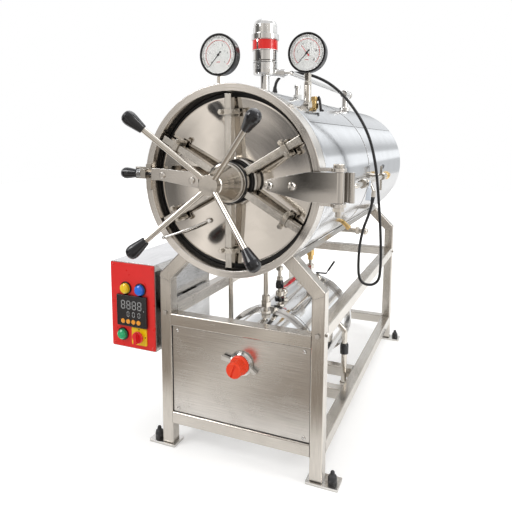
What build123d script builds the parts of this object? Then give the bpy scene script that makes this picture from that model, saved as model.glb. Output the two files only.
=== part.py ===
from build123d import *
import os
from math import sin, cos, tan, radians, degrees, sqrt, atan2

os.makedirs("parts", exist_ok=True)

# Horizontal steam sterilizer, millimetres, Z up, door towards -Y, floor at z = 0

# Stand
TUBE = 40
TUBE_R = 4
STAND_W = 550
STAND_D = 1240
KNEE_Z = 575
FOOT_T = 8
FOOT_L = 100
FOOT_W = 60
ANCHOR_OUT = 27
LOW_RAIL_Z = 100
FRONT_RAIL_Z = 434
SIDE_RAIL_Z = 456
SADDLE_T = 16

# Vessel
AXIS_Z = 888
RING_LIP = 5
RING_WALL = 21
RING_Y0 = -680
RING_Y1 = -625
JACKET_R = 270
SKIN_T = 3
SEAM_Y = -20
REAR_Y = 790
VESSEL_WALL = 34
CHAMBER_END_Y = 640
GASKET_T = 5
SEAL_GAP = 0.4

# Door and its locking bars
DISC_GAP = 14
DISC_EDGE_T = 10
DISH_DEPTH = 16
HUB_R = 58
BARS = 6
BAR_W = 20
BAR_D = 24
BAR_Y = -662
BAR_TIP_GAP = 5
BAR_ROOT_R = 64
BAR_TRAVEL = 15
TAIL_R = 6
TAIL_L = 32
SLIDE_GAP = 1.0
GUIDE_IN = 44

# Handwheel
WHEEL_Y = -792
CAP_FLAT_R = 28
SPOKE_TIP_R = 260
SPOKE_LEAN = 112
SPOKE_ROD_R = 8
KNOB_L = 62
KNOB_R = 19

# Door hinge and latch
PIN_OUT = 50
PIN_Y = -692
PIN_R = 8
ARM_H = 78
ARM_T = 8
LUG_T = 9
LUG_GAP = 1.5
LATCH_UP = 19
LATCH_Y = -702

# Front panel, heater cap, control cabinet
PANEL_T = 2
CAP_X = 14
CAP_Z = 330
CAP_R = 25
BOX_GAP = 9
BOX_W = 174
BOX_Z0 = 320
BOX_Z1 = 610
BOX_Y0 = -632
BOX_Y1 = -280

# Steam boiler below the vessel
BOILER_X = 24
BOILER_Z = 276
BOILER_R = 160
BOILER_HEAD_Y = -568
BOILER_Y0 = -414
BOILER_Y1 = 55
FLANGE_R = 173
FLANGE_T = 10
RISER = (24, -450)
BALL_VALVES = ((30, -300), (78, -40))
TRAP = (40, -366)
LEVEL = (81, -150)
STEM_H = 51
DRAIN_Y = -437
REAR_DRAIN_Y = -125

# Gauges and safety valve on top
GAUGES = ((-62, -598, 94), (155, -440, 112))
DIAL_R = 60
CASE_L = 30
SAFETY_X = 30
SAFETY_Y = -480
PORT_X = 56
PORT_Y = 20
PORT_H = 56
SIDE_VALVE_Y = -265
TEE = (100, 250, 49)

# Sensor cable, a limp loop from the vessel's top to the side pipework
CABLE_R = 5
CABLE = (
    (-4, -312, 1168), (-4, -312, 1194), (8, -311, 1216), (32, -308, 1230), (74, -301, 1234), (130, -288, 1222),
    (190, -271, 1190), (246, -243, 1130), (296, -194, 1036), (320, -170, 930),
    (330, -160, 826), (338, -149, 722), (343, -143, 626), (344, -142, 560), (341, -143, 507), (320, -147, 486),
    (290, -153, 486), (269, -157, 507), (266, -159, 562), (269, -162, 626), (281, -168, 692), (302, -176, 746),
    (314, -180, 788), (314, -180, 812),
)

leg_x = STAND_W / 2 - TUBE / 2
leg_y = STAND_D / 2 - TUBE / 2
anchor_x = STAND_W / 2 + ANCHOR_OUT
anchor_y = leg_y
vessel_top = AXIS_Z + JACKET_R
ring_r = JACKET_R + RING_LIP
ring_bore = ring_r - RING_WALL
chamber_r = JACKET_R - VESSEL_WALL
disc_r = ring_bore - DISC_GAP
guide_r = disc_r - GUIDE_IN
bar_tip_r = ring_bore - BAR_TIP_GAP
pin_x = ring_r + PIN_OUT
side_x = JACKET_R + 30
side_z = AXIS_Z - 22
box_x1 = -STAND_W / 2 - BOX_GAP
box_x0 = box_x1 - BOX_W
box_cx = (box_x0 + box_x1) / 2
latch_z = AXIS_Z + LATCH_UP
drain_x = leg_x - 41


def save(name, shape):
    if isinstance(shape, (list, tuple)):
        shape = Compound(children=list(shape)) if len(shape) > 1 else shape[0]
    shape.label = name
    export_step(shape, "parts/" + name + ".step")


def put(x, y, z, dx=0, dy=0, dz=1):
    return Plane(origin=(x, y, z), z_dir=(dx, dy, dz))


def rod(p, q, r):
    p = Vector(*p)
    q = Vector(*q)
    d = q - p
    return Plane(origin=p, z_dir=d) * Cylinder(r, d.length, align=(Align.CENTER, Align.CENTER, Align.MIN))


def spun(points, plane):
    # a turned piece: points are (radius, height) along the plane's own axis
    face = Plane.XZ * make_face(Polyline(*points, close=True))
    return plane * revolve(face, Axis.Z)


def about_y(points, x=0, z=AXIS_Z):
    # a turned piece on an axis along Y: points are (radius, y)
    face = make_face(Polyline(*points, close=True))
    return Pos(x, 0, z) * revolve(face, Axis.Y)


def ring_y(r_in, r_out, y0, y1, x=0, z=AXIS_Z):
    if r_in <= 0:
        return about_y([(0, y0), (r_out, y0), (r_out, y1), (0, y1)], x, z)
    return about_y([(r_in, y0), (r_out, y0), (r_out, y1), (r_in, y1)], x, z)


def tube_run(points, r, bend):
    path = FilletPolyline(*points, radius=bend)
    start = Plane(origin=path @ 0, z_dir=path % 0)
    return sweep(start * Circle(r), path=path)


def hex_head(plane, flats, h):
    return plane * extrude(RegularPolygon(flats / 2, 6, major_radius=False), h)


def bar_x(y, z, x0, x1, wy=TUBE, hz=TUBE):
    face = Plane(origin=(x0, y, z), x_dir=(0, 1, 0), z_dir=(1, 0, 0)) * RectangleRounded(wy, hz, TUBE_R)
    return extrude(face, x1 - x0)


def bar_y(x, z, y0, y1, wx=TUBE, hz=TUBE):
    face = Plane(origin=(x, y0, z), x_dir=(1, 0, 0), z_dir=(0, 1, 0)) * RectangleRounded(wx, hz, TUBE_R)
    return extrude(face, y1 - y0)


def vessel_core(r=JACKET_R):
    return ring_y(0, r, RING_Y0 - 50, REAR_Y + 50)


def arm_reach():
    # how far the sloping arm runs inwards to end well inside the vessel's outline
    rise = AXIS_Z - KNEE_Z
    span = leg_x + rise
    hit = (span - sqrt(span ** 2 - 2 * (leg_x ** 2 + rise ** 2 - JACKET_R ** 2))) / 2
    return hit + 75


def make_leg(sx, sy):
    # upright and its 45 degree arm are one mitred tube; the arm's end is coped to the vessel
    h = TUBE / 2
    k = h * tan(radians(22.5))
    reach = arm_reach()
    outer = [(leg_x - h, FOOT_T), (leg_x + h, FOOT_T), (leg_x + h, KNEE_Z + k)]
    outer += [(leg_x + h - reach, KNEE_Z + k + reach), (leg_x - h - reach, KNEE_Z - k + reach)]
    outer += [(leg_x - h, KNEE_Z - k)]
    face = Plane.XZ * make_face(Polyline(*outer, close=True))
    leg = Pos(0, h, 0) * extrude(face, TUBE)
    leg = fillet(leg.edges().filter_by(lambda e: abs((e % 0).Y) < 0.01), TUBE_R)
    if sx < 0:
        leg = mirror(leg, Plane.YZ)
    return Pos(0, sy * leg_y, 0) * leg - vessel_core()


def legs():
    return [make_leg(sx, sy) for sx in (-1, 1) for sy in (-1, 1)]


def foot_plates():
    out = []
    for sx in (-1, 1):
        for sy in (-1, 1):
            x = sx * (STAND_W / 2)
            plate = Pos(x, sy * (leg_y - 2), FOOT_T / 2) * Box(FOOT_L, FOOT_W, FOOT_T)
            plate = fillet(plate.edges().filter_by(Axis.Z), 4)
            out.append(plate - Pos(sx * anchor_x, sy * anchor_y, 0) * Cylinder(6.5, 60))
    return out


def anchor_bolts():
    out = []
    for sx in (-1, 1):
        for sy in (-1, 1):
            x = sx * anchor_x
            y = sy * anchor_y
            bolt = Pos(x, y, 0) * Cylinder(6, 46, align=(Align.CENTER, Align.CENTER, Align.MIN))
            tip = spun([(0, 0), (6, 0), (3.5, 5), (0, 5)], put(x, y, 46))
            washer = Pos(x, y, FOOT_T) * Cylinder(14, 3, align=(Align.CENTER, Align.CENTER, Align.MIN))
            nut = hex_head(put(x, y, FOOT_T + 3), 24, 13)
            lock = hex_head(put(x, y, FOOT_T + 18), 20, 10)
            out.append(bolt + tip + washer + nut + lock)
    return out


def cross_rails():
    inner = leg_x - TUBE / 2
    out = []
    for y, z in ((-leg_y, LOW_RAIL_Z), (-leg_y, FRONT_RAIL_Z), (leg_y, LOW_RAIL_Z), (leg_y, SIDE_RAIL_Z)):
        out.append(bar_x(y, z, -inner, inner))
    return out


def side_rails():
    inner = leg_y - TUBE / 2
    out = []
    for x in (-leg_x, leg_x):
        for z in (LOW_RAIL_Z, SIDE_RAIL_Z):
            out.append(bar_y(x, z, -inner, inner))
    return out


def saddle_rails():
    inner = leg_y - TUBE / 2
    out = []
    for sx in (-1, 1):
        a = radians(-54)
        r = JACKET_R + SADDLE_T / 2 + 1.5
        x = sx * r * cos(a)
        z = AXIS_Z + r * sin(a)
        turn = sx * (90 - 54)
        bar = Pos(x, 0, z) * Rot(0, -turn, 0) * Box(44, 2 * inner, SADDLE_T)
        out.append(bar - vessel_core())
    return out


def service_panel():
    inner = leg_x - TUBE / 2
    z0 = LOW_RAIL_Z + TUBE / 2
    z1 = FRONT_RAIL_Z - TUBE / 2
    sheet = Pos(0, -612, (z0 + z1) / 2) * Box(2 * inner, PANEL_T, z1 - z0)
    return sheet - rod((CAP_X, -640, CAP_Z), (CAP_X, -600, CAP_Z), 20)


def screw_head(x, y, z, r=5):
    return spun([(0, 0), (r, 0), (r * 0.86, r * 0.36), (r * 0.5, r * 0.6), (0, r * 0.68)], put(x, y, z, 0, -1, 0))


def panel_screws():
    z0 = LOW_RAIL_Z + TUBE / 2 + 14
    z1 = FRONT_RAIL_Z - TUBE / 2 - 14
    out = []
    for x in (-leg_x + TUBE, leg_x - TUBE):
        for z in (z0, z1):
            out.append(screw_head(x, -612 - PANEL_T / 2, z, 6))
    for x in (-leg_x, leg_x):
        out.append(hex_head(put(x, -leg_y - TUBE / 2, SIDE_RAIL_Z, 0, -1, 0), 13, 6))
    for y in (-leg_y, leg_y):
        out.append(hex_head(put(leg_x + TUBE / 2, y, SIDE_RAIL_Z, 1, 0, 0), 13, 6))
        out.append(hex_head(put(-leg_x - TUBE / 2, y, SIDE_RAIL_Z, -1, 0, 0), 13, 6))
    return out


def heater_flange():
    face_y = -612 - PANEL_T / 2
    plane = put(CAP_X, face_y, CAP_Z, 0, -1, 0)
    body = spun([(0, 0), (38, 0), (38, 5), (32, 7), (32, 16), (20, 16), (20, 12), (0, 12)], plane)
    neck = rod((CAP_X, face_y, CAP_Z), (CAP_X, BOILER_HEAD_Y + 4, CAP_Z), 19)
    strap = Pos(CAP_X + 40, face_y - 7, CAP_Z - 14) * Rot(0, 35, 0) * Box(26, 14, 10)
    lever = Pos(CAP_X - 46, face_y - 10, CAP_Z + 10) * Rot(0, 12, 0) * Box(34, 12, 12)
    return body + neck + strap + lever


def heater_cap():
    y0 = -612 - PANEL_T / 2 - 16.0
    plane = put(CAP_X, y0, CAP_Z, 0, -1, 0)
    cap = spun([(0, 0), (30, 0), (30, 6), (CAP_R + 1, 9), (CAP_R, 42), (CAP_R - 3, 46), (0, 46)], plane)
    notch = Pos(CAP_X, y0 - 46, CAP_Z) * Rot(0, 20, 0) * Box(6, 8, 2 * CAP_R - 8)
    for i in range(20):
        a = radians(18 * i)
        cut = rod((CAP_X + (CAP_R + 1.6) * cos(a), y0 - 12, CAP_Z + (CAP_R + 1.6) * sin(a)),
                  (CAP_X + (CAP_R + 1.0) * cos(a), y0 - 50, CAP_Z + (CAP_R + 1.0) * sin(a)), 2)
        cap -= cut
    return cap - notch


def bar_angle(i):
    return 90 + i * 360 / BARS


def turned_to(i, thing):
    return Pos(0, 0, AXIS_Z) * Rot(0, -bar_angle(i), 0) * Pos(0, 0, -AXIS_Z) * thing


def front_ring():
    # the bars' sockets are cut in the ring's bore
    ring = about_y([(ring_bore, RING_Y0), (ring_r, RING_Y0), (ring_r, RING_Y1), (ring_bore, RING_Y1)])
    ring = chamfer(ring.edges().group_by(Axis.Y)[0], 1.5)
    for i in range(BARS):
        socket = Pos(ring_bore + 5, BAR_Y, AXIS_Z) * Box(26, BAR_D + 4, BAR_W + 4)
        ring -= turned_to(i, socket)
    return ring


def chamber():
    # double wall of the steam jacket with its flange, dished rear head and the open mouth
    r_out = JACKET_R - SKIN_T
    pts = [(chamber_r, RING_Y1), (JACKET_R, RING_Y1), (JACKET_R, RING_Y1 + 12), (r_out, RING_Y1 + 12)]
    pts += [(r_out, CHAMBER_END_Y + 60), (0, CHAMBER_END_Y + 60), (0, CHAMBER_END_Y)]
    pts += [(90, CHAMBER_END_Y - 4), (170, CHAMBER_END_Y - 18), (215, CHAMBER_END_Y - 40), (chamber_r, CHAMBER_END_Y - 75)]
    return about_y(pts)


def jacket(y0, y1):
    return ring_y(JACKET_R - SKIN_T, JACKET_R, y0, y1)


def jacket_front():
    return jacket(RING_Y1 + 12, SEAM_Y - 8)


def jacket_rear():
    # rear skin with the raised band over the seam between both skins
    band = ring_y(JACKET_R - SKIN_T, JACKET_R + 1.2, SEAM_Y - 8, SEAM_Y + 8)
    return jacket(SEAM_Y, REAR_Y) + band


def rear_cover():
    y = CHAMBER_END_Y + 60
    r = JACKET_R - SKIN_T
    return about_y([(0, y), (r, y), (r, REAR_Y - 2), (r - 30, REAR_Y + 6), (0, REAR_Y + 14)])


def gasket():
    y0 = RING_Y1 - GASKET_T
    return about_y([(chamber_r + 1, RING_Y1), (chamber_r + 1, y0 + 1), (chamber_r + 3, y0), (ring_bore - 2, y0),
                    (ring_bore - 0.5, y0 + 1.5), (ring_bore - 0.5, RING_Y1)])


def dish(r):
    # how far the hollow of the disc's front lies behind its rim
    rim = disc_r - 4
    big = (rim ** 2 + DISH_DEPTH ** 2) / (2 * DISH_DEPTH)
    return 0 if r >= rim else DISH_DEPTH - big + sqrt(big ** 2 - r ** 2)


def door_disc():
    # polished plate, hollow like a shallow bowl, with a narrow flat rim against the gasket
    back = RING_Y1 - GASKET_T - SEAL_GAP
    front = back - DISC_EDGE_T
    rim = disc_r - 4
    hollow = ThreePointArc((0, front + dish(0)), (rim / 2, front + dish(rim / 2)), (rim, front))
    edge = Polyline((rim, front), (disc_r, front), (disc_r, back), (rim, back))
    rear = ThreePointArc((rim, back), (rim / 2, back + dish(rim / 2)), (0, back + dish(0)))
    close = Line((0, back + dish(0)), (0, front + dish(0)))
    face = make_face(Curve() + [hollow, edge, rear, close])
    return Pos(0, 0, AXIS_Z) * revolve(face, Axis.Y)


def disc_face_y(r):
    # front surface of the hollow plate at a radius
    return RING_Y1 - GASKET_T - SEAL_GAP - DISC_EDGE_T + dish(r)


def hub_base_y():
    return RING_Y1 - GASKET_T - SEAL_GAP - DISC_EDGE_T + DISH_DEPTH


def door_hub():
    # bar cage with a radial bore for each bar's tail, and the bearing nose for the handwheel
    y0 = hub_base_y()
    cage0 = BAR_Y - BAR_D / 2
    cage1 = BAR_Y + BAR_D / 2
    core = HUB_R - 10
    prof = [(0, y0), (70, y0), (70, y0 - 7), (66, y0 - 9), (core, y0 - 9), (core, cage1), (HUB_R, cage1), (HUB_R, cage0)]
    prof += [(core, cage0), (core, nose_y() + 3), (HUB_R, nose_y() + 3), (HUB_R, nose_y() + 1), (HUB_R - 1, nose_y())]
    prof += [(16, nose_y()), (16, nose_y() - 60), (0, nose_y() - 60)]
    hub = about_y(prof)
    for i in range(BARS):
        bore = rod((HUB_R - TAIL_L - 4, BAR_Y, AXIS_Z), (HUB_R + 10, BAR_Y, AXIS_Z), TAIL_R + SLIDE_GAP / 2)
        hub -= turned_to(i, bore)
    return hub - door_disc()


def hub_seals():
    # black collars behind and before the bar cage
    behind = ring_y(HUB_R - 10, HUB_R + 5, BAR_Y + BAR_D / 2 + 5, hub_base_y() - 12)
    before = ring_y(HUB_R - 10, HUB_R + 3, nose_y() + 3, BAR_Y - BAR_D / 2)
    return [behind, before]


def bar_guides():
    # two posts beside each bar, a cross strap over it, a hex nut on each post
    out = []
    strap_y = BAR_Y - BAR_D / 2 - SLIDE_GAP
    off = BAR_W / 2 + SLIDE_GAP + 6
    disc = door_disc()
    for i in range(BARS):
        strap = Pos(guide_r, strap_y - 3, AXIS_Z) * Box(14, 6, 2 * off + 16)
        strap = fillet(strap.edges().filter_by(Axis.Y), 4)
        shoe = Pos(guide_r, BAR_Y + BAR_D / 2 + SLIDE_GAP + 2.5, AXIS_Z) * Box(22, 5, 2 * off + 12)
        piece = strap + shoe
        for s in (-1, 1):
            z = AXIS_Z + s * off
            piece += rod((guide_r, strap_y - 17, z), (guide_r, disc_face_y(guide_r) + 4, z), 5)
            piece += hex_head(put(guide_r, strap_y - 6, z, 0, -1, 0), 13, 7)
        out.append(turned_to(i, piece) - disc)
    return out


def lock_bar(i):
    h = BAR_W / 2
    body = Pos((BAR_ROOT_R + bar_tip_r) / 2, BAR_Y, AXIS_Z) * Box(bar_tip_r - BAR_ROOT_R, BAR_D, BAR_W)
    body = chamfer(body.edges().group_by(Axis.X)[-1], 3)
    body = fillet(body.edges().filter_by(Axis.X), 1.5)
    tail = rod((HUB_R - TAIL_L, BAR_Y, AXIS_Z), (BAR_ROOT_R + 1, BAR_Y, AXIS_Z), TAIL_R)
    return turned_to(i, body + tail)


def nose_y():
    return BAR_Y - BAR_D / 2 - 8


def spoke_ends(k):
    a = radians(45 + 90 * k)
    y0 = WHEEL_Y + 14
    tip = (SPOKE_TIP_R * cos(a), y0 - SPOKE_LEAN, AXIS_Z + SPOKE_TIP_R * sin(a))
    root = (12 * cos(a), y0, AXIS_Z + 12 * sin(a))
    return Vector(*root), Vector(*tip)


def handwheel():
    # chrome cone turning on the hub's nose, flat end cap, four leaning spokes
    y_back = nose_y() - 1.0
    bore = 16.6
    cap = CAP_FLAT_R
    prof = [(bore, y_back), (54, y_back), (55, y_back - 1), (55, y_back - 8), (51, y_back - 10), (49, y_back - 16)]
    prof += [(42, y_back - 36), (36, y_back - 56), (cap + 2, WHEEL_Y + 26), (cap, WHEEL_Y + 22), (cap, WHEEL_Y + 1)]
    prof += [(cap - 1, WHEEL_Y), (0, WHEEL_Y), (0, nose_y() - 61), (bore, nose_y() - 61)]
    wheel = about_y(prof)
    for k in range(4):
        root, tip = spoke_ends(k)
        d = (tip - root).normalized()
        wheel += rod(tuple(root), tuple(tip - d * (KNOB_L - 12)), SPOKE_ROD_R)
    return wheel


def handwheel_knobs():
    out = []
    for k in range(4):
        root, tip = spoke_ends(k)
        d = (tip - root).normalized()
        base = tip - d * KNOB_L
        plane = Plane(origin=base, z_dir=d)
        r = KNOB_R
        prof = [(SPOKE_ROD_R, 0), (11, 0), (12, 1.5), (r - 1, KNOB_L * 0.55), (r, KNOB_L * 0.68), (r - 0.8, KNOB_L * 0.80)]
        prof += [(r - 3.5, KNOB_L * 0.90), (r - 8, KNOB_L * 0.965), (r - 13, KNOB_L * 0.993), (0, KNOB_L), (0, 12), (SPOKE_ROD_R, 12)]
        out.append(spun(prof, plane))
    return out


def hinge_arm():
    # flat arm tapering to the hub, bolted to the door, rolled round the hinge pin
    y_face = PIN_Y - 18
    z = AXIS_Z
    h = ARM_H / 2
    outline = [(126, z - 10), (134, z - 15), (246, z - h), (pin_x, z - h), (pin_x, z + h), (246, z + h), (134, z + 15), (126, z + 10)]
    plate = Pos(0, y_face + ARM_T, 0) * extrude(Plane.XZ * make_face(Polyline(*outline, close=True)), ARM_T)
    plate -= rod((150, y_face - 5, z), (150, y_face + 20, z), 2.5)
    roll = Pos(pin_x, PIN_Y, z) * Cylinder(18, ARM_H)
    wrap = Pos(pin_x + 16, PIN_Y + 13, z) * Box(32, 6, ARM_H) + Pos(pin_x + 32, PIN_Y + 8, z) * Cylinder(8, ARM_H)
    arm = plate + roll + wrap
    arm -= Pos(pin_x, PIN_Y, z) * Cylinder(PIN_R + 0.1, ARM_H + 20)
    disc = door_disc()
    for x in (140, 205):
        arm += rod((x, y_face + 1, z), (x, disc_face_y(x) + 4, z), 9) - disc
        arm += spun([(0, 0), (11, 0), (11, 5), (9, 8), (0, 8.5)], put(x, y_face, z, 0, -1, 0))
    return arm


def hinge_bracket():
    out = []
    for s in (-1, 1):
        z = AXIS_Z + s * (ARM_H / 2 + LUG_GAP + LUG_T / 2)
        lug = Pos((pin_x + 240) / 2, PIN_Y + 20, z) * Box(pin_x - 240, 40, LUG_T)
        lug += Pos(pin_x, PIN_Y, z) * Cylinder(20, LUG_T)
        lug -= ring_y(0, ring_r, RING_Y0 - 60, RING_Y1 + 60)
        lug -= Pos(pin_x, PIN_Y, z) * Cylinder(PIN_R, 60)
        out.append(lug)
    return out


def hinge_pin():
    top = AXIS_Z + ARM_H / 2 + LUG_GAP + LUG_T
    low = AXIS_Z - ARM_H / 2 - LUG_GAP - LUG_T
    pin = rod((pin_x, PIN_Y, low - 26), (pin_x, PIN_Y, top + 1), PIN_R)
    head = spun([(0, 0), (15, 0), (15, 9), (13, 11), (0, 11)], put(pin_x, PIN_Y, top))
    nut = hex_head(put(pin_x, PIN_Y, low - 12), 26, 12)
    return pin + head + nut


def latch_arm():
    # arm from the hub to the strike block on the left, sloping up to the plunger's height
    x1 = -ring_r + 43
    x0 = x1 + 31
    z0 = AXIS_Z + 5
    y_face = LATCH_Y - 10
    outline = [(-74, z0 - 22), (-74, z0 + 22), (x0, latch_z + 17), (x1, latch_z + 17), (x1, latch_z - 17), (x0, latch_z - 17)]
    plate = Pos(0, y_face + 9, 0) * extrude(Plane.XZ * make_face(Polyline(*outline, close=True)), 9)
    block = Pos((x0 + x1) / 2, LATCH_Y, latch_z) * Box(31, 20, 34)
    arm = plate + block - rod((x1 - 4, LATCH_Y, latch_z), (x1 + 24, LATCH_Y, latch_z), 7)
    disc = door_disc()
    for x, z in ((-94, z0), (x0 + 9, latch_z - 2)):
        r = sqrt(x ** 2 + (z - AXIS_Z) ** 2)
        arm += rod((x, y_face + 1, z), (x, disc_face_y(r) + 4, z), 9) - disc
        arm += spun([(0, 0), (9, 0), (9, 4), (7, 6), (0, 6)], put(x, y_face, z, 0, -1, 0))
    return arm


def latch_bracket():
    # plate bolted to the ring's face, a backing plate behind the spring, and the plunger's guide
    x = -ring_r + 16
    bar = Pos(x, RING_Y0 - 4, latch_z - 11) * Box(17, 8, 80)
    bar = fillet(bar.edges().filter_by(Axis.Y), 6)
    guide = Pos(x, LATCH_Y, latch_z) * Box(17, 28, 26)
    backing = Pos(x - 24, RING_Y0 - 2, latch_z + 1) * Box(48, 4, 36)
    body = bar + guide + backing
    return body - rod((x - 60, LATCH_Y, latch_z), (x + 60, LATCH_Y, latch_z), 5.1)


def latch_plunger():
    # black hand knob on the stem; its tip stands just clear of the strike block
    base = -ring_r - 11
    stem = rod((base - 20, LATCH_Y, latch_z), (-ring_r + 38, LATCH_Y, latch_z), 5)
    plane = put(base - 56, LATCH_Y, latch_z, 1, 0, 0)
    knob = spun([(0, 0), (7, 0.6), (13, 4), (16.5, 11), (17, 18), (15.5, 30), (12, 52), (10.5, 56), (0, 56)], plane)
    return stem + knob


def latch_spring():
    # turns of the coil as rings, each joined to the next by a short link
    turns = 5
    pitch = 3.7
    out = None
    for k in range(turns):
        x = -ring_r - 9.2 + k * pitch
        ring = Plane(origin=(x, LATCH_Y, latch_z), z_dir=(1, 0, 0)) * Torus(10.5, 1.2)
        out = ring if out is None else out + ring
        if k:
            side = 10.5 if k % 2 else -10.5
            out += rod((x - pitch, LATCH_Y, latch_z + side), (x, LATCH_Y, latch_z + side), 1.0)
    return out


def boiler():
    # drum with a bolted flange pair near the front and an end flange at the rear
    r = BOILER_R
    f = FLANGE_R
    y = BOILER_Y0
    t = FLANGE_T
    prof = [(0, BOILER_HEAD_Y), (r - 18, BOILER_HEAD_Y), (r - 5, BOILER_HEAD_Y + 4), (r, BOILER_HEAD_Y + 16), (r, y)]
    prof += [(f - 1, y), (f, y + 1), (f, y + t), (f - 5, y + t), (f - 5, y + t + 4), (f, y + t + 4), (f, y + 2 * t + 3)]
    prof += [(f - 1, y + 2 * t + 4), (r, y + 2 * t + 4), (r, BOILER_Y1 - 2 * t), (f, BOILER_Y1 - 2 * t), (f, BOILER_Y1 - t - 3)]
    prof += [(f - 5, BOILER_Y1 - t - 3), (f - 5, BOILER_Y1 - t), (f, BOILER_Y1 - t), (f, BOILER_Y1 - 1), (f - 1, BOILER_Y1)]
    prof += [(0, BOILER_Y1)]
    body = about_y(prof, BOILER_X, BOILER_Z)
    return body - rod((CAP_X, BOILER_HEAD_Y - 5, CAP_Z), (CAP_X, BOILER_HEAD_Y + 4, CAP_Z), 19)


def boiler_cradle():
    out = []
    inner = leg_x - TUBE / 2
    for y in (-240, -60):
        bar = bar_x(y, LOW_RAIL_Z, -inner, inner)
        block = Pos(BOILER_X, y, LOW_RAIL_Z + 35) * Box(150, 30, 50)
        out.append(bar + block - ring_y(0, BOILER_R, -600, 600, BOILER_X, BOILER_Z))
    return out


def boiler_top(x):
    return BOILER_Z + sqrt(BOILER_R ** 2 - (x - BOILER_X) ** 2)


def vessel_low(x):
    return AXIS_Z - sqrt(JACKET_R ** 2 - x ** 2)


def boiler_core():
    return ring_y(0, BOILER_R, BOILER_HEAD_Y, BOILER_Y1, BOILER_X, BOILER_Z)


def union(x, y, z, r):
    return hex_head(put(x, y, z - 22), 3 * r, 16) + Pos(x, y, z + 4) * Cylinder(1.35 * r, 20)


def boiler_pipes():
    # steam riser with its union, return pipe on the left, trap branch, level branch, and two ball valve stubs
    x, y = RISER
    z0 = boiler_top(x) - 4
    z1 = vessel_low(x) + 6
    riser = rod((x, y, z0), (x, y, z1), 8) + union(x, y, boiler_top(x) + 48, 10)
    riser += hex_head(put(x, y, boiler_top(x) - 3), 30, 14) + Pos(x, y, z1 - 16) * Cylinder(13, 26)
    riser += rod((x - 30, y, z1 - 42), (x, y, z1 - 42), 5.5)
    riser += rod((x - 40, y - 6, z1 - 42), (x - 40, y + 6, z1 - 42), 15)
    left = rod((-108, y + 6, boiler_top(-108) - 6), (-108, y + 6, vessel_low(108) + 6), 8)
    left += hex_head(put(-108, y + 6, boiler_top(-108) + 2), 24, 14) + hex_head(put(-108, y + 6, vessel_low(108) - 18), 24, 14)
    out = [riser, left]
    x, y = TRAP
    trap = rod((x, y, boiler_top(x) - 4), (x, y, vessel_low(x) + 6), 6)
    trap += hex_head(put(x, y, boiler_top(x) - 2), 24, 12) + Pos(x, y, boiler_top(x) + 48) * Cylinder(14, 14)
    trap += hex_head(put(x, y, boiler_top(x) + 96), 20, 10) + hex_head(put(x, y, boiler_top(x) + 130), 24, 12)
    out.append(trap)
    x, y = LEVEL
    level = rod((x, y, boiler_top(x) - 4), (x, y, vessel_low(x) + 6), 6.5)
    level += hex_head(put(x, y, boiler_top(x) - 2), 24, 12) + hex_head(put(x, y, boiler_top(x) + 100), 26, 16)
    out.append(level)
    for x, y in BALL_VALVES:
        z = boiler_top(x)
        stub = rod((x, y, z - 6), (x, y, z + 38), 9) + rod((x, y, z + 30), (x, y, z + STEM_H), 5)
        stub += hex_head(put(x, y, z - 2), 28, 12)
        stub += Pos(x, y, z + 33) * Sphere(15)
        out.append(stub)
    core = boiler_core()
    return [piece - vessel_core() - core for piece in out]


def valve_handles():
    # black moulded parts: star handle and cap on the trap branch, wheel on the riser's side valve, two drain grips
    x, y = TRAP
    z = boiler_top(x)
    star = Pos(x, y, z + 28) * Cylinder(12, 12)
    for k in range(6):
        a = radians(60 * k)
        star += Pos(x + 13 * cos(a), y + 13 * sin(a), z + 28) * Cylinder(5, 12)
    star -= rod((x, y, z), (x, y, z + 60), 6)
    cap = spun([(6, z + 68), (14, z + 68), (14, z + 84), (11, z + 94), (6, z + 94)], put(x, y, 0))
    grip = Pos(drain_x, DRAIN_Y - 21, 96) * Box(24, 8, 60)
    grip = fillet(grip.edges().filter_by(Axis.Y), 11)
    sleeve = spun([(10.5, 0), (16, 0), (16, 34), (13, 40), (10.5, 40)], put(drain_x, REAR_DRAIN_Y, 200))
    return [star, cap, grip - rod((drain_x, DRAIN_Y - 30, 96), (drain_x, DRAIN_Y, 96), 5), sleeve]


def drain_pipes():
    out = []
    x = drain_x
    y = DRAIN_Y
    front = tube_run([(130, y, 368), (x, y, 332), (x, y, 34)], 10.5, 18)
    front += Pos(x, y, 96) * Sphere(16) + rod((x, y, 96), (x, y - 28, 96), 4.8)
    front += hex_head(put(x, y, 106), 28, 12) + hex_head(put(x, y, 74), 28, 12)
    out.append(front - boiler_core())
    y = REAR_DRAIN_Y
    rear = tube_run([(140, y, 360), (x, y, 290), (x, y, 24)], 10.5, 18)
    rear += Pos(x, y, 70) * Cylinder(15, 30)
    out.append(rear - boiler_core())
    return out


def gauge_cases():
    out = []
    for x, y, rise in GAUGES:
        z = vessel_top + rise
        plane = put(x, y + CASE_L / 2, z, 0, -1, 0)
        r = DIAL_R
        prof = [(0, 0), (r - 5, 0), (r - 2, 2), (r - 2, CASE_L - 7), (r, CASE_L - 6), (r, CASE_L)]
        prof += [(r - 5, CASE_L), (r - 6, CASE_L - 4), (0, CASE_L - 4)]
        out.append(spun(prof, plane))
    return out


def gauge_dials():
    out = []
    for x, y, rise in GAUGES:
        z = vessel_top + rise
        y0 = y + CASE_L / 2 - (CASE_L - 4)
        out.append(spun([(0, 0), (DIAL_R - 6.2, 0), (DIAL_R - 6.2, 2), (0, 2)], put(x, y0, z, 0, -1, 0)))
    return out


def vessel_high(x):
    return AXIS_Z + sqrt(JACKET_R ** 2 - x ** 2)


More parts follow.
